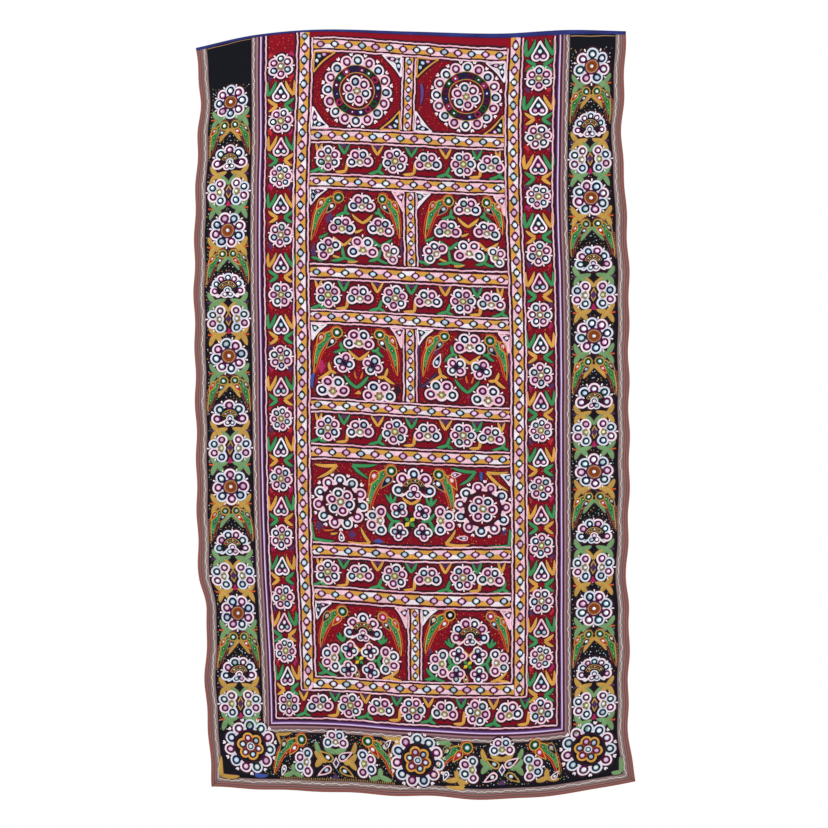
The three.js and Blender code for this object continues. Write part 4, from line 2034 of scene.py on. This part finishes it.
@dataclass(frozen=True)
class MirrorBand:
    """A band of eye-shaped mirrors on a zigzag of ochre and pale satin stitch."""

    start: Pair  # across and down
    end: Pair
    eyes: int
    width: float = 26.0

    def stitch(self, work: Embroidery, first: int = 0) -> None:
        """Works the band from its start to its end.

        Args:
            work: the embroidery.
            first: even or odd, which of two dyes comes first.
        """
        a, b = np.array(self.start), np.array(self.end)
        length = float(np.linalg.norm(b - a))
        at = Place(*a, float(np.degrees(np.arctan2(a[1] - b[1], b[0] - a[0]))) + 90)
        pitch = length / self.eyes
        for k in range(-1, self.eyes):
            low, high = max((k + 0.5) * pitch, 0), min((k + 1.5) * pitch, length)
            middle = 0.5 * (low + high)
            near = np.linspace([0, 0.3 * pitch - middle], [0, -middle - 0.3 * pitch], 5)
            rail = np.linspace([0, -low], [0, -high], 5)
            for side in (-1, 1):
                pale = (PINK, PINK, WHITE)[int(work.chance.integers(3))]
                dye = OCHRE if (k + first + (side > 0)) % 2 == 0 else pale
                work.patch(at, near - [0.8 * side, 0], rail + [side * self.width / 2, 0], dye, top=1.25)
        scale = self.width / 26.0
        ring = (8.8 * scale, min(12.8 * scale, 0.46 * pitch))
        for k in range(self.eyes):
            dye = (NAVY, MAROON)[(k + first) % 2]
            if dye is NAVY and work.chance.random() < 0.5:
                dye = TEAL
            spot = at.at(0, -(k + 0.5) * pitch)
            work.cell(spot, ring, (5.4 * scale, 6.4 * scale), dye, Cell.EYE, Cell.ROUND, 0.0, 16)


@dataclass(frozen=True)
class MirrorBands(Region):
    """All the mirror bands: the U round the field, those across it and the dividers."""

    name: str = "mirror_bands"
    levels: Floats = (45, 268, 382, 610, 722.5, 946, 1062, 1307.5, 1421)

    def stitch(self, work: Embroidery) -> None:
        """Works every band.

        Args:
            work: the embroidery.
        """
        middle, low, reach = 0.5 * (BAND_LINE + FIELD), 0.5 * (FOOT + BAND_FOOT), FIELD - 4
        bands = [MirrorBand((x, 9), (x, low + 13), 55) for x in (-middle, middle)]
        bands.append(MirrorBand((14 - middle, low), (middle - 14, low), 15))
        bands += [MirrorBand((-reach, y), (reach, y), 14, 25) for y in self.levels]
        bands += [MirrorBand((x, top + 5), (x, foot - 5), 8, 20) for top, foot, x in HALVES]
        for k, band in enumerate(bands):
            band.stitch(work, k)


def blossom(at: Place, k: int) -> Work:
    """A flower where k is even, and a fan on a stalk where it is odd.

    Args:
        at: its place.
        k: its number in the row.

    Returns:
        The motif, its place and its variant.
    """
    if k % 2 == 0:
        return flower(6, turn=23 * k % 60), at, k // 2
    return fan(4, 20.5, 172, stem=9), at.at(0, -7, 11 * k % 13 - 6), k // 2


def sprigs(at: Place, k: int, wide: float, half: float) -> list[Work]:
    """A V at the upper edge of a band and a foot at its lower one, on a plum ground.

    Args:
        at: the middle between two flowers.
        k: its number in the row.
        wide: half the width of the plum ground and of the V.
        half: half the height of the band.

    Returns:
        The motifs, each with its place.
    """
    o, g = OCHRE, GREEN
    wedges = [(Wedge((x, 0), (0, -17)), at.at(0, half), PLUM) for x in (-wide, wide)]
    upper = (vee(wide, 26, 0.0), at.at(0, half - 27), (o, g)[k % 2])
    if k % 2:
        return [*wedges, upper, spray(at, 5, 8 - half, o, (2, 29), (-25, -2))]
    return [*wedges, upper, spray(at, 2, 11 - half, g, (7, 20), (-24, -7), (16, -7))]


@dataclass(frozen=True)
class FlowerStrips(Region):
    """The four narrow strips across the field: flowers and fans by turns."""

    name: str = "flower_strips"
    grounds: Rows = tuple((-240, 242, level - 34, level + 35) for level in (325, 667.5, 1003, 1364))
    # The level of each strip, then where its motifs stand across it.
    rows: Rows = (
        (325, -198, -118, -30, 53, 141, 210), (667.5, -198, -120, -34, 47, 132, 201),
        (1003, -201, -122, -37, 43, 129, 197), (1364, -207, -127, -42, 39, 125, 193)
    )

    def works(self) -> Iterator[Work]:
        """The motifs of each strip and the leaves between them.

        Returns:
            The motifs, each with its place.
        """
        for level, *row in self.rows:
            yield from (blossom(Place(across, level), j) for j, across in enumerate(row))
            edges = (-246.0, *row, 246.0)
            for j, (a, b) in enumerate(zip(edges[:-1], edges[1:])):
                yield from sprigs(Place(0.5 * (a + b), level), j, min(15.0, 0.18 * (b - a)), 38.5)


@dataclass(frozen=True)
class RedBands(Region):
    """The broad red band round the field: flowers and buds down the sides and the foot."""

    name: str = "red_bands"
    grounds: Rows = ((-353, -290, 16, 1655), (291, 354, 16, 1655), (-353, 354, 1666, 1727))
    pitch: float = 9.0
    left: Rows = (
        (-323, 96), (-321, 232), (-317, 371), (-316, 518), (-317, 669), (-320, 828), (-320, 981),
        (-322, 1130), (-324, 1276), (-326, 1431), (-326, 1563)
    )
    right: Rows = (
        (325, 106), (326, 254), (326, 404), (323, 546), (320, 698), (320, 848), (320, 987),
        (320, 1137), (320, 1286), (320, 1422), (320, 1564)
    )
    foot: Floats = (-321, -237, -159, -82, -2, 78, 160, 240, 320)

    def works(self) -> Iterator[Work]:
        """The motifs of both sides and of the foot.

        Returns:
            The motifs, each with its place.
        """
        for side, row in ((-1, self.left), (1, self.right)):
            stops = (*row, (side * 320.0, 1696.0))
            for k, place in enumerate(row):
                at = Place(*place)
                for x, y in ((-1, 1), (1, 1), (-1, -1), (1, -1)):
                    dye = (CRIMSON, PLUM, MAGENTA)[(2 * k + x + y) % 3]
                    yield Lozenge(11, 13), at.at(25 * x, 25 * y), dye
                yield flower(7 if k % 4 == 2 else 6, turn=37 * k % 60), at, k
            if side > 0:
                yield from self.bud(Place(row[0][0], 44), 62, 0)
            for k, (a, b) in enumerate(zip(stops[:-1], stops[1:])):
                yield from self.bud(Place(0.5 * (a[0] + b[0]), 0.5 * (a[1] + b[1])), b[1] - a[1], k)
        yield from (blossom(Place(across, 1696), k) for k, across in enumerate(self.foot))
        for k, (a, b) in enumerate(zip(self.foot[:-1], self.foot[1:])):
            yield from sprigs(Place(0.5 * (a + b), 1696), k, 13.0, 35.0)

    def bud(self, at: Place, gap: float, k: int) -> Iterator[Work]:
        """A bud between two flowers, with leaves beside its tip and under its foot.

        Args:
            at: its place.
            gap: from flower to flower; a narrow one has green leaves alone.
            k: its number, which turns the colours about.

        Returns:
            The bud and the leaves.
        """
        pair = (GREEN, OCHRE if gap >= 100 else GREEN)
        dyes = pair[::-1] if k % 2 else pair
        yield Buta(), at, k
        for x, dye, other in ((-1, *dyes), (1, *dyes[::-1])):
            yield spray(at, 31 * x, -5, dye, (2 * x, 36), (-19 * x, 36), width=10.0)
            yield spray(at, 10 * x, -29, other, (22 * x, 16), (21 * x, -15), width=10.5)


def corner_cloths(down: float, *places: tuple[float, float, int, int]) -> list[Work]:
    """Pale corner triangles at one level.

    Args:
        down: their level.
        places: each one's across, width, cells and whether it points left, as 1 or 0.

    Returns:
        The triangles with their places and dyes.
    """
    return [
        (
            Spandrel(wide, (42, 52)[left], cells), Place(x, down, 0, 1.0, bool(left)),
            (WHITE, PINK)[left]
        )
        for x, wide, cells, left in places
    ]


def panels(top: float, low: float, middle: float = 0.0) -> Rows:
    """The grounds of two panels side by side, a divider's width apart."""
    return (-240, middle - 19, top + 6, low - 3), (middle + 21, 242, top + 6, low - 3)


@dataclass(frozen=True)
class FirstRow(Region):
    """The top row: two great medallions with a small triangle in every corner."""

    name: str = "first_row"
    grounds: Rows = panels(61, 251)

    def works(self) -> Iterator[Work]:
        """The triangles and the medallions.

        Returns:
            The motifs, each with its place.
        """
        core = flower(6, 22.5, ring=10.2, glass=5.1, eye=8.6)
        for place, left, right in (((-130, 156), -243, -19), ((147, 153), 19, 243)):
            for dye, wide, deep, across, down, turn, flip in (
                (OCHRE, 56, 52, left, 63, 0, False), (WHITE, 50, 52, right, 63, 0, True),
                (WHITE, 52, 44, left, 249, 90, False), (OCHRE, 50, 50, right, 249, 180, False)
            ):
                yield Spandrel(wide, deep), Place(across, down, turn, 1.0, flip), dye
            yield Medallion(16, 74.0, 10.6, 5.5, core, 61.5, 16), Place(*place), 0
        yield spray(Place(32, 130), 0, 0, VIOLET, (1, -52), width=9)


@dataclass(frozen=True)
class SecondRow(Region):
    """The second row: six small fans as a tree in each panel, under two parrots."""

    name: str = "second_row"
    grounds: Rows = panels(399, 591, 8)

    def works(self) -> Iterator[Work]:
        """The motifs of both panels.

        Returns:
            The motifs, each with its place.
        """
        yield from corner_cloths(
            401, (-242, 42, 3, 0), (-7.5, 30, 1, 1), (23, 36, 1, 0), (243, 28, 1, 1)
        )
        for k, (at, left, right) in enumerate((
            (Place(-112, 444), ((-170, 422), (-68, -110)), ((-61, 422), (42, -97))),
            (Place(150, 441), ((104, 419), (-60, -98)), ((198, 419), (37, -80))),
        )):
            yield from (*self.tree(at, k), bird(*left, size=10.8), bird(*right, size=10.0))
        for x, d, wide, high in (
            (-192, 478, 16, 22), (-232, 560, 10, 24), (-14, 540, 7, 30), (30, 560, 8, 30)
        ):
            yield Lozenge(wide, high), Place(x, d), PLUM

    def tree(self, at: Place, k: int) -> list[Work]:
        """The fans of one panel and the leaves between them.

        Args:
            at: the top fan's place.
            k: 0 for the left panel and 1 for the right.

        Returns:
            The motifs, each with its place.
        """
        o, g = OCHRE, GREEN
        low, side = fan(4, 20.0, 168, stem=8), fan(4, 20.0, 168)
        return [
            spray(at, -47, -98, (o, g)[k], (-23, 21), (21, 20)),
            spray(at, 43, -97, (g, o)[k], (-18, 20), (30, 20)),
            spray(at, -43, -15, g, (3, 18), (-22, -8), (13, -4)),
            spray(at, 42, -13, g, (0, 12), (16, -13), (-11, -1)),
            spray(at, -44, -129, g, (-5, 28), (-34, -8), (28, -6)),
            spray(at, 36, -128, g, (8, 24), (-21, -7), (27, -10)),
            spray(at, -106, -80, g, (22, 12), width=8), spray(at, -112, -133, g, (-15, 3), (14, -6)),
            spray(at, -72, -124, o, (17, -4), width=7), spray(at, -36, -139, o, (25, 3), width=8),
            spray(at, -17, -64, o, (18, 8), width=7), spray(at, 1, -40, o, (-26, 22), (26, 22)),
            (low, at, k), (low, at.at(-50, -57), k + 1), (low, at.at(46, -57, -8), k),
            (side, at.at(-80, -112, 40), k + 1), (fan(4, 24.0, 200), at.at(1, -108), k),
            (Cluster((112, 36, -52), 15.5, 8.6, 4.8, eye=8.4, core=11.0), at.at(65, -115), k + 1)
        ]


@dataclass(frozen=True)
class ThirdRow(Region):
    """The third row: a fan, two foursomes and two low fans in each panel."""

    name: str = "third_row"
    grounds: Rows = panels(739, 930)

    def works(self) -> list[Work]:
        """The motifs of both panels.

        Returns:
            The motifs, each with its place.
        """
        return [
            *corner_cloths(741, (-241, 38, 1, 0), (-19, 28, 1, 1), (19, 38, 1, 0), (243, 28, 1, 1)),
            (Lozenge(13, 18), Place(-217, 849), MAGENTA), (Lozenge(12, 24), Place(-32, 900), WINE),
            (Lozenge(14, 18), Place(62, 790), PLUM),
            spray(Place(-237, 868), 0, 0, BLUE, (-2, -36), width=10),
            spray(Place(27, 752), 0, 0, PLUM, (-1, -138), width=7),
            spray(Place(28, 888), 0, 0, PLUM, (36, 40), width=7),
            spray(Place(243, 793), 0, 0, PLUM, (0, -98), width=6), *self.orchard(Place(-125, 787), 0),
            *self.orchard(Place(145, 782), 1), (Drop(13.0), Place(67, 818, -24), NAVY),
            bird((-178, 762), (-58, -106), 11.2), bird((-74, 762), (42, -102), 10.6),
            bird((84, 757), (-53, -105), 9.8), bird((195, 763), (40, -98), 11.2)
        ]

    def orchard(self, at: Place, k: int) -> list[Work]:
        """The fans and foursomes of one panel and the leaves between them.

        Args:
            at: the upper fan's place.
            k: 0 for the left panel and 1 for the right.

        Returns:
            The motifs, each with its place.
        """
        o, g, side = OCHRE, GREEN, 5 * k
        low = fan(4, 26.5, 172, ring=10.2, core=13.0)
        return [
            spray(at, 0, -40, o, (-26, 22), (26, 22)),
            spray(at, -6, -112, g, (-30, 31), (29, 31), width=10),
            spray(at, -40, -17, g, (-4, 20), (-22, -8 - 3 * side), (10, -3)),
            spray(at, 43, -17, g, (5, 11), (17, -14), (-12, 2)),
            spray(at, -69, -73, o, (-6, 22), (-31, -20), (14, -5)),
            spray(at, 63, -80, o, (7, 22), (-18, -1), (23, -17)),
            spray(at, -6, -88, ORANGE, (-4, 18), width=6), spray(at, 4, -88, ORANGE, (4, 17), width=6),
            (Wedge((12, -9), (-12, -9)), at.at(-1, -118), (o, MAGENTA)[k]),
            (fan(4, 23.5, 182, ring=10.2, stem=8), at, k),
            (QUAD, at.at(-36 + 0.6 * side, -50, 28 * (1 - k)), 1 - k),
            (QUAD, at.at(33 - side, -53, 20), k), (low, at.at(-64 - side, -123), k),
            (low, at.at(49 - side, -130), 1 - k)
        ]


@dataclass(frozen=True)
class FourthRow(Region):
    """The fourth row: one wide panel, a garden under an arch between two medallions."""

    name: str = "fourth_row"
    grounds: Rows = ((-240, 242, 1088, 1286),)
    seeds: Seeds = ((CRIMSON, 0.4), (ORANGE, 0.3), (OLD_GOLD, 0.16), (BLUE, 0.08), (MAGENTA, 0.06))

    def works(self) -> list[Work]:
        """The motifs of the panel.

        Returns:
            The motifs, each with its place.
        """
        o, g, at = OCHRE, GREEN, Place(0, 1190)
        core = flower(6, 22.0, ring=10.0, eye=9.6)
        return [
            (Lozenge(14, 16), Place(-225, 1245), PLUM), (Lozenge(14, 12), Place(-145, 1266), PLUM),
            (Lozenge(16, 7), Place(-81, 1279), BLUE), (Lozenge(12, 15), Place(225, 1246), PLUM),
            spray(at, -179, 95, o, (-56, 2), (-49, -33)), spray(at, -141, 98, g, (59, 5), (38, -31)),
            spray(at, 159, 95, g, (-58, 7), (-39, -35)), spray(at, 186, 93, o, (52, 3), (52, -47)),
            spray(at, 172, 94, BLUE, (0, -22), width=9), spray(at, -240, -90, g, (-3, 42), (51, -3)),
            spray(at, -102, -94, o, (-21, 37), (-54, 0)), spray(at, 84, -90, o, (23, 36), (57, -2)),
            spray(at, 238, -96, g, (2, 43), (-50, 0)), spray(at, -198, -76, o, (18, 4), width=7),
            spray(at, -214, -68, ORANGE, (26, 4), width=6),
            spray(at, -47, 8, g, (-13, 23), (-2, 26), (10, 20), width=8),
            spray(at, 47, 6, g, (-9, 20), (2, 26), (16, 17), width=8),
            spray(at, 1, 8, o, (-23, 17), (24, 16), width=9.0),
            spray(at, -44, -37, g, (-14, 22), (18, 1), (-11, -27)),
            spray(at, 42, -33, g, (14, 21), (-18, -2), (14, -27)),
            (Medallion(11, 54.5, 10.2, 5.3, core, 41.0), Place(-172, 1185), 0),
            (Medallion(11, 57.0, 10.4, 5.3, core, 43.5), Place(175, 1191, 12), 1),
            (Arch(5, 38.0, 10.8, 8.2, 190.0), Place(8, 1144), 0), (SMALL, at.at(-29, -7, 12), 0),
            (SMALL, at.at(27, -11, -14), 1), (SMALL, at.at(-30, -62, 40), 1),
            (SMALL, at.at(29, -62, -40), 0), (Star(17.0), at.at(-3, -36), 0),
            (fan(4, 23.0, 186, stem=7), at.at(-75, -36, 90), 0),
            (fan(4, 23.0, 186, stem=7), at.at(72, -31, -90), 1), (Drop(9.0), at.at(-171, -81, 8), NAVY),
            (Drop(9.0, PINK), at.at(111, 86, -80), PLUM), (Drop(9.5, PINK), at.at(123, -75, 85), PLUM),
            (Spandrel(26, 32, 1), Place(244, 1100, 0, 1.0, True), WHITE),
            bird((-47, 1101), (-58, -112), 11.0, wing=1.45),
            bird((69, 1105), (34, -108), 11.0, wing=1.45)
        ]


@dataclass(frozen=True)
class FifthRow(Region):
    """The fifth row: an arch, four small foursomes and two side fans in each panel."""

    name: str = "fifth_row"
    grounds: Rows = panels(1440, 1626, 5)

    def works(self) -> list[Work]:
        """The motifs of both panels.

        Returns:
            The motifs, each with its place.
        """
        arches = Place(-124, 1511), Place(141, 1510)
        return [
            *corner_cloths(1442, (-241, 40, 3, 0), (-14, 30, 1, 1), (22, 38, 1, 0), (243, 28, 1, 1)),
            *((Arch(5 + k, 34.5, 9.6), at, k) for k, at in enumerate(arches)),
            *self.garden(Place(-134, 1580), 0), *self.garden(Place(136, 1580), 1),
            bird((-175, 1463), (-57, -92), 10.8, 1), bird((-75, 1469), (45, -95), 9.2, 0, MAGENTA),
            bird((91, 1456), (-60, -100), 10.8, 1, INK), bird((192, 1459), (44, -92), 9.2, 0, MAGENTA)
        ]

    def garden(self, low: Place, k: int) -> list[Work]:
        """What stands under one arch: foursomes round a star, fans and leaves.

        Args:
            low: the star's place.
            k: 0 for the left panel and 1 for the right.

        Returns:
            The motifs, each with its place.
        """
        o, g = OCHRE, GREEN
        return [
            (Lozenge(18, 24), low, INK), (Lozenge(10, 20), low.at(-92, 22), PLUM),
            spray(low, 2, 22, o, (-26, 28), (26, 28)),
            spray(low, -41, 44, g, (-16, 16), (-8, 22), (6, 20), width=8),
            spray(low, 54, 44, g, (16, 14), (8, 22), (-6, 20), width=8),
            spray(low, -41, 0, g, (-7, 26), (18, 1), (-12, -22)),
            spray(low, 46, 2, g, (9, 23), (-19, 0), (8, -24)),
            spray(low, -84, -33, g, (-18, 22), (27, -9), (-22, -5)),
            spray(low, 73, -37, o, (25, 20), (-17, -5), (32, -6)), (SMALL, low.at(-24, 24, 124), k),
            (SMALL, low.at(26, 23, 56), 1 - k), (SMALL, low.at(-29, -25, 50), 1 - k),
            (SMALL, low.at(28, -26, 124), k), (Star(14.0), low, 0),
            (fan(4, 21.5, 186, ring=9.2, stem=6), low.at(-63, 2, 90), k),
            (fan(4, 21.5, 196, ring=9.2, stem=6), low.at(68 + 3 * k, 3 + 2 * k, -90), 1 - k),
            (Drop(7.5, o, 3.0), low.at(-6, -33, 10), INK)
        ]


@dataclass(frozen=True)
class BlackBorder(Region):
    """The black border. Down its sides flowers, and between them parrots over an arch and
    a pair of fans; along its foot three medallions and two gardens.
    """

    name: str = "black_border"
    grounds: Rows = ((-504, -402, 130, 1760), (402, 504, 40, 1760), (-390, 390, 1776, 1880))
    pitch: float = 8.8
    seeds: Seeds = ((ICE, 0.3), (SALMON, 0.15), (OLD_GOLD, 0.3), (SAGE, 0.25))
    pales: tuple[Dye, Dye] = (ICE, BLOOM)
    middle: float = 453.5
    # The levels of the flowers of each side, with the corner's medallion last.
    left: Floats = (172, 503, 821, 1149, 1468, 1790)
    right: Floats = (83, 409, 753, 1097, 1445, 1796)
    arches: tuple[tuple[int, ...], ...] = ((5, 7, 5, 6, 6), (7, 6, 5, 6, 7))  # their petals

    def works(self) -> Iterator[Work]:
        """The motifs of both sides and of the foot.

        Returns:
            The motifs, each with its place.
        """
        for side, row, petals in ((-1, self.left, self.arches[0]), (1, self.right, self.arches[1])):
            for k, (down, below) in enumerate(zip(row[:-1], row[1:])):
                at = Place(side * self.middle, down)
                dyes = (SAGE, OLD_GOLD)[:: 1 if (k + side) % 2 else -1]
                yield from self.unit(at, (below - down) / 330, dyes, petals[k], side)
                yield CopperFlower(7 if side > 0 and not k else 8), at.at(0, 0, 17 * k % 24), k
        for place in ((-431, 1803), (8, 1821), (437, 1805)):
            yield Medallion(11, 52.5, 11.4, 6.0, Round(), 40.5), Place(*place), 0
        yield from self.garden(Place(-200, 1840), SAGE, OLD_GOLD, 0)
        yield from self.garden(Place(220, 1836), OLD_GOLD, SAGE, 1)
        at = Place(0, 1840)
        yield from (
            spray(at, -509, -39, OLD_GOLD, (-1, 50), (45, -1), width=13),
            spray(at, 507, -37, SAGE, (3, 40), (-22, 2), width=13),
            spray(at, -423, -33, BLUE, (36, -2), width=11),
            spray(at, -360, 69, OLD_GOLD, (46, 2), (11, -26)),
            spray(at, -25, 73, OLD_GOLD, (-56, -2), (-33, -40), width=13),
            spray(at, 91, 68, SAGE, (-40, -1), (-10, -24), width=13),
            spray(at, 123, -41, OLD_GOLD, (-46, -3), (-22, 38), width=13),
            (Rungs(300, 4.8, 7.0), Place(-350, 1880), OLD_GOLD)
        )

    def unit(
        self, at: Place, scale: float, dyes: tuple[Dye, Dye], petals: int, side: int
    ) -> Iterator[Work]:
        """All that stands between two flowers of a side.

        Args:
            at: the upper flower's middle.
            scale: the distance between the flowers over the usual one.
            dyes: of the outermost leaves, and the other one.
            petals: how many mirrors the arch has.
            side: -1 on the left and 1 on the right.

        Returns:
            The motifs.
        """
        one, two = dyes
        for down, dye, twig in ((43, one, ORANGE), (188, two, PLUM), (274, one, ORANGE)):
            for x in (-1, 1):
                spot = at.at(33 * x, -down * scale)
                ends = (15 * x, 25), (-27 * x, 6), (13 * x, -27), (-16 * x, -20)
                yield spray(spot, 0, 0, dye, *ends, width=14.5)
                yield spray(spot, 18 * x, 0, twig, (-14 * x, 0), width=4.5)
        low, side_fan = at.at(0, -233 * scale), fan(4, 21.5, 184, ring=9.4, eye=9.0)
        arch = Arch(petals, 31.5, {5: 10.6, 6: 9.2, 7: 8.2}[petals], 6.4)
        yield from (
            (Spray(((-27, -34, -0.1), (28, -34, 0.1)), 12.0, 0.9, 0.3), at.at(0, -70 * scale), two),
            (vee(22, 25, 0.1, 11.0), at.at(0, -213 * scale), one),
            (arch, at.at(0, -157 * scale), petals), (side_fan, low.at(-21, 0, 90), 0),
            (side_fan, low.at(21, 0, -90), 1), (Lozenge(8.4, 12.5, OLD_GOLD), low.at(0, 1), PLUM),
            (Wedge((14, -16), (-14, -16)), low.at(0, -21), MAGENTA),
            (Rungs(62 * scale), at.at(54 * side, -86 * scale, -90), SALMON)
        )
        body = LEAF if one is SAGE else GREEN
        tail = (-37, -80 * scale)
        parrot = Parrot(8.6, tail, 9.6, 10.2, edge=OLD_GOLD, throat=BRICK, body=body)
        for k, x in enumerate((-14.0, 14.0)):
            yield parrot, replace(at.at(x, -62 * scale), flip=bool(k)), k

    def garden(self, at: Place, one: Dye, two: Dye, k: int) -> Iterator[Work]:
        """Half of the foot: parrots, three fans and a cross of drops round a lozenge.

        Args:
            at: the lozenge's place.
            one: the first dye of the leaves.
            two: the second.
            k: 0 for the left half and 1 for the right.

        Returns:
            The motifs.
        """
        side_fan = fan(4, 21.5, 190, ring=9.6, eye=9.0)
        yield from (
            spray(at, 0, 26, one, (-28, 12), (28, 12), width=16.5),
            spray(at, -36, 8, two, (-16, 20), (-16, -18), (16, 0), width=16.5),
            spray(at, 36, 4, two, (16, 20), (16, -20), (-16, 0), width=16.5),
            spray(at, -40, 24, one, (-10, 28), width=14.5),
            spray(at, 42, 26, two, (10, 26), width=14.5),
            spray(at, -113, -26, one, (0, 22), (-30, -8), (28, -8), width=14.5),
            spray(at, 113, -26, one, (0, 22), (-28, -8), (30, -8), width=14.5),
            (Wedge((12, -15), (-12, -15)), at.at(-2, -24), PLUM),
            (side_fan, at.at(-75, 0, 90), 1), (side_fan, at.at(71, 2, -90), 0),
            (fan(4, 19.5, 186, ring=9.0, eye=8.0, stem=8), at.at(1, 50), 0),
            (Lozenge(7.0, 9.0, WHITE), at, PLUM), (Drop(9.5), at.at(-142, -22, 160), NAVY),
            (Drop(9.5), at.at(134, 56 - 78 * k, -40), PLUM)
        )
        for x, y, turn, line in (
            (-25, 17, 55, OLD_GOLD), (25, 18, -60, PINK), (-30, -21, 120, PINK),
            (28, -22, -125, OLD_GOLD)
        ):
            yield Drop(14.0, line, 4.4), at.at(x, y, turn), INK
        for x, y, tail in ((-87, 54, (-82, -86)), (83, 58, (62, -82))):
            spot = at.at(x, y)
            yield bird((spot.across, spot.down), tail, 11.4, 1, wing=1.25)


@dataclass(frozen=True)
class Tapes(Region):
    """The thin pale cord couched in waves along each tape, and the binding's tan stitches."""

    name: str = "tapes"
    cords: Rows = ((390.5, 1763.0, 2.6), (517.5, 1890.0, 2.2))  # reach, foot and sway of each
    tacks: Floats = (398, 509, 11)  # the binding's stitches: inner end, outer end and level

    def stitch(self, work: Embroidery) -> None:
        """Works the two cords round three sides and the two short lines at the top.

        Args:
            work: the embroidery.
        """
        for reach, low, sway in self.cords:
            path = u_path(reach, 9, low)
            work.line(PALE, HERE, path, 2.2, CORD, 2.2, waver=sway, pitch=3)
        inner, outer, level = self.tacks
        for side in (-1, 1):
            path = np.linspace((side * inner, -level), (side * outer, -level), 8)
            work.line(PALE, HERE, path, 2.0, TAN, 1.7, pitch=5.0)


# --- The room ---


@dataclass(frozen=True)
class Studio:
    """A pale floor and surround, even soft light, and a level camera straight in front."""

    floor: float = -2.30
    paper: Floats = (-2.2, 2.2, -2.8, 1.3)  # the floor's left, right, front and back
    lamps: tuple[tuple[str, Floats, float], ...] = (  # name, place and watts
        ("key_lamp", (-2.4, -3.4, 1.4), 84.0), ("fill_lamp", (2.6, -3.6, -0.4), 36.0)
    )
    lamp_size: float = 2.6
    distance: float = 6.0
    aim: Pair = (0.005, -0.956)
    field: float = 2.07  # metres of cloth seen from side to side
    ambient: float = 0.68

    def build(self) -> None:
        """Makes the floor, the surround, the lamps and the camera."""
        self.surround()
        left, right, front, back = self.paper
        x, y, z = (left, right, right, left), (front, front, back, back), (self.floor,) * 4
        floor = make_object(
            "floor", np.array([x, y, z]).T, np.arange(4), np.array([4]), np.zeros((4, 2)),
            np.ones((4, 3))
        )
        floor.data.materials.append(Finish("matt_white_paper", roughness=0.9).material())
        for name, place, power in self.lamps:
            lamp = bpy.data.lights.new(name, "AREA")
            lamp.size, lamp.energy = self.lamp_size, power
            self.stand(lamp, place)
        camera = bpy.data.cameras.new("camera")
        camera.lens = camera.sensor_width * self.distance / self.field
        camera.clip_end = 60.0
        place = (self.aim[0], -self.distance, self.aim[1])
        bpy.context.scene.camera = self.stand(camera, place)
        bpy.context.scene.view_settings.view_transform = "Standard"

    def stand(self, data: bpy.types.ID, place: Floats) -> Piece:
        """Puts a lamp or the camera in its place, facing the middle of the cloth.

        Args:
            data: the lamp or the camera.
            place: in metres.

        Returns:
            The object.
        """
        piece = bpy.data.objects.new(data.name, data)
        x, y, z = np.array([self.aim[0], 0, self.aim[1]]) - np.array(place)
        piece.location = place
        piece.rotation_euler = (np.arctan2(np.hypot(x, y), -z), 0, np.arctan2(-x, y))
        bpy.context.scene.collection.objects.link(piece)
        return piece

    def surround(self) -> None:
        """The world: even light, white where it is seen, in a mirror or through glass too."""
        world = bpy.data.worlds.new("surround")
        world.use_nodes = True
        tree = world.node_tree
        tree.nodes.clear()
        path = add_node(tree, "LightPath").outputs
        seen = path["Is Camera Ray"]
        for ray in ("Is Glossy Ray", "Is Transmission Ray"):
            seen = add_node(tree, "Math", seen, path[ray], operation="MAXIMUM")
        light, white = (add_node(tree, "Background", (1,) * 4, x) for x in (self.ambient, 1.0))
        add_node(tree, "OutputWorld", add_node(tree, "MixShader", seen, light, white))
        bpy.context.scene.world = world


# --- Putting it together ---


FINISHES: dict[Technique, Finish] = {
    FILL: ThreadFinish("herringbone_cotton_floss", slant=1.6, furrow_shade=0.44),
    DARK: ThreadFinish("dark_chain_stitch_cotton", slant=0.9, furrow_shade=0.2),
    PALE: ThreadFinish("white_chain_stitch_cotton", slant=0.9, furrow_shade=0.22),
    RING: ThreadFinish("buttonhole_stitch_silk", sheen=0.0, lustre=0.06, slant=0.0, furrow_shade=0.35),
    GLASS: MirrorGlass(
        "silvered_blown_glass", 0.25, 0.18, sheen=0.0, lustre=0.5, metallic=0.75, coat=0.5
    ),
    KNOT: ThreadFinish("knotted_cotton", slant=0.0, furrow_shade=0.1)
}


def main() -> None:
    """Builds the hanging piece by piece."""
    logging.basicConfig(level=logging.INFO, format="%(message)s")
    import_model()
    cloth = HungCloth()
    pieces = FramedCloth(cloth).build()
    for piece in pieces:
        LOG.info("%s: %d triangles", piece.name, triangles(piece))
    total = sum(triangles(piece) for piece in pieces)
    materials = {technique: finish.material() for technique, finish in FINISHES.items()}
    regions = (
        DrawnLines(), MirrorBands(), FlowerStrips(), RedBands(), FirstRow(), SecondRow(), ThirdRow(),
        FourthRow(), FifthRow(), BlackBorder(), Tapes()
    )
    for seed, region in enumerate(regions):
        total += region.build(seed, cloth, materials)
    LOG.info("%d triangles in all", total)
    Studio().build()


if __name__ == "__main__":
    main()
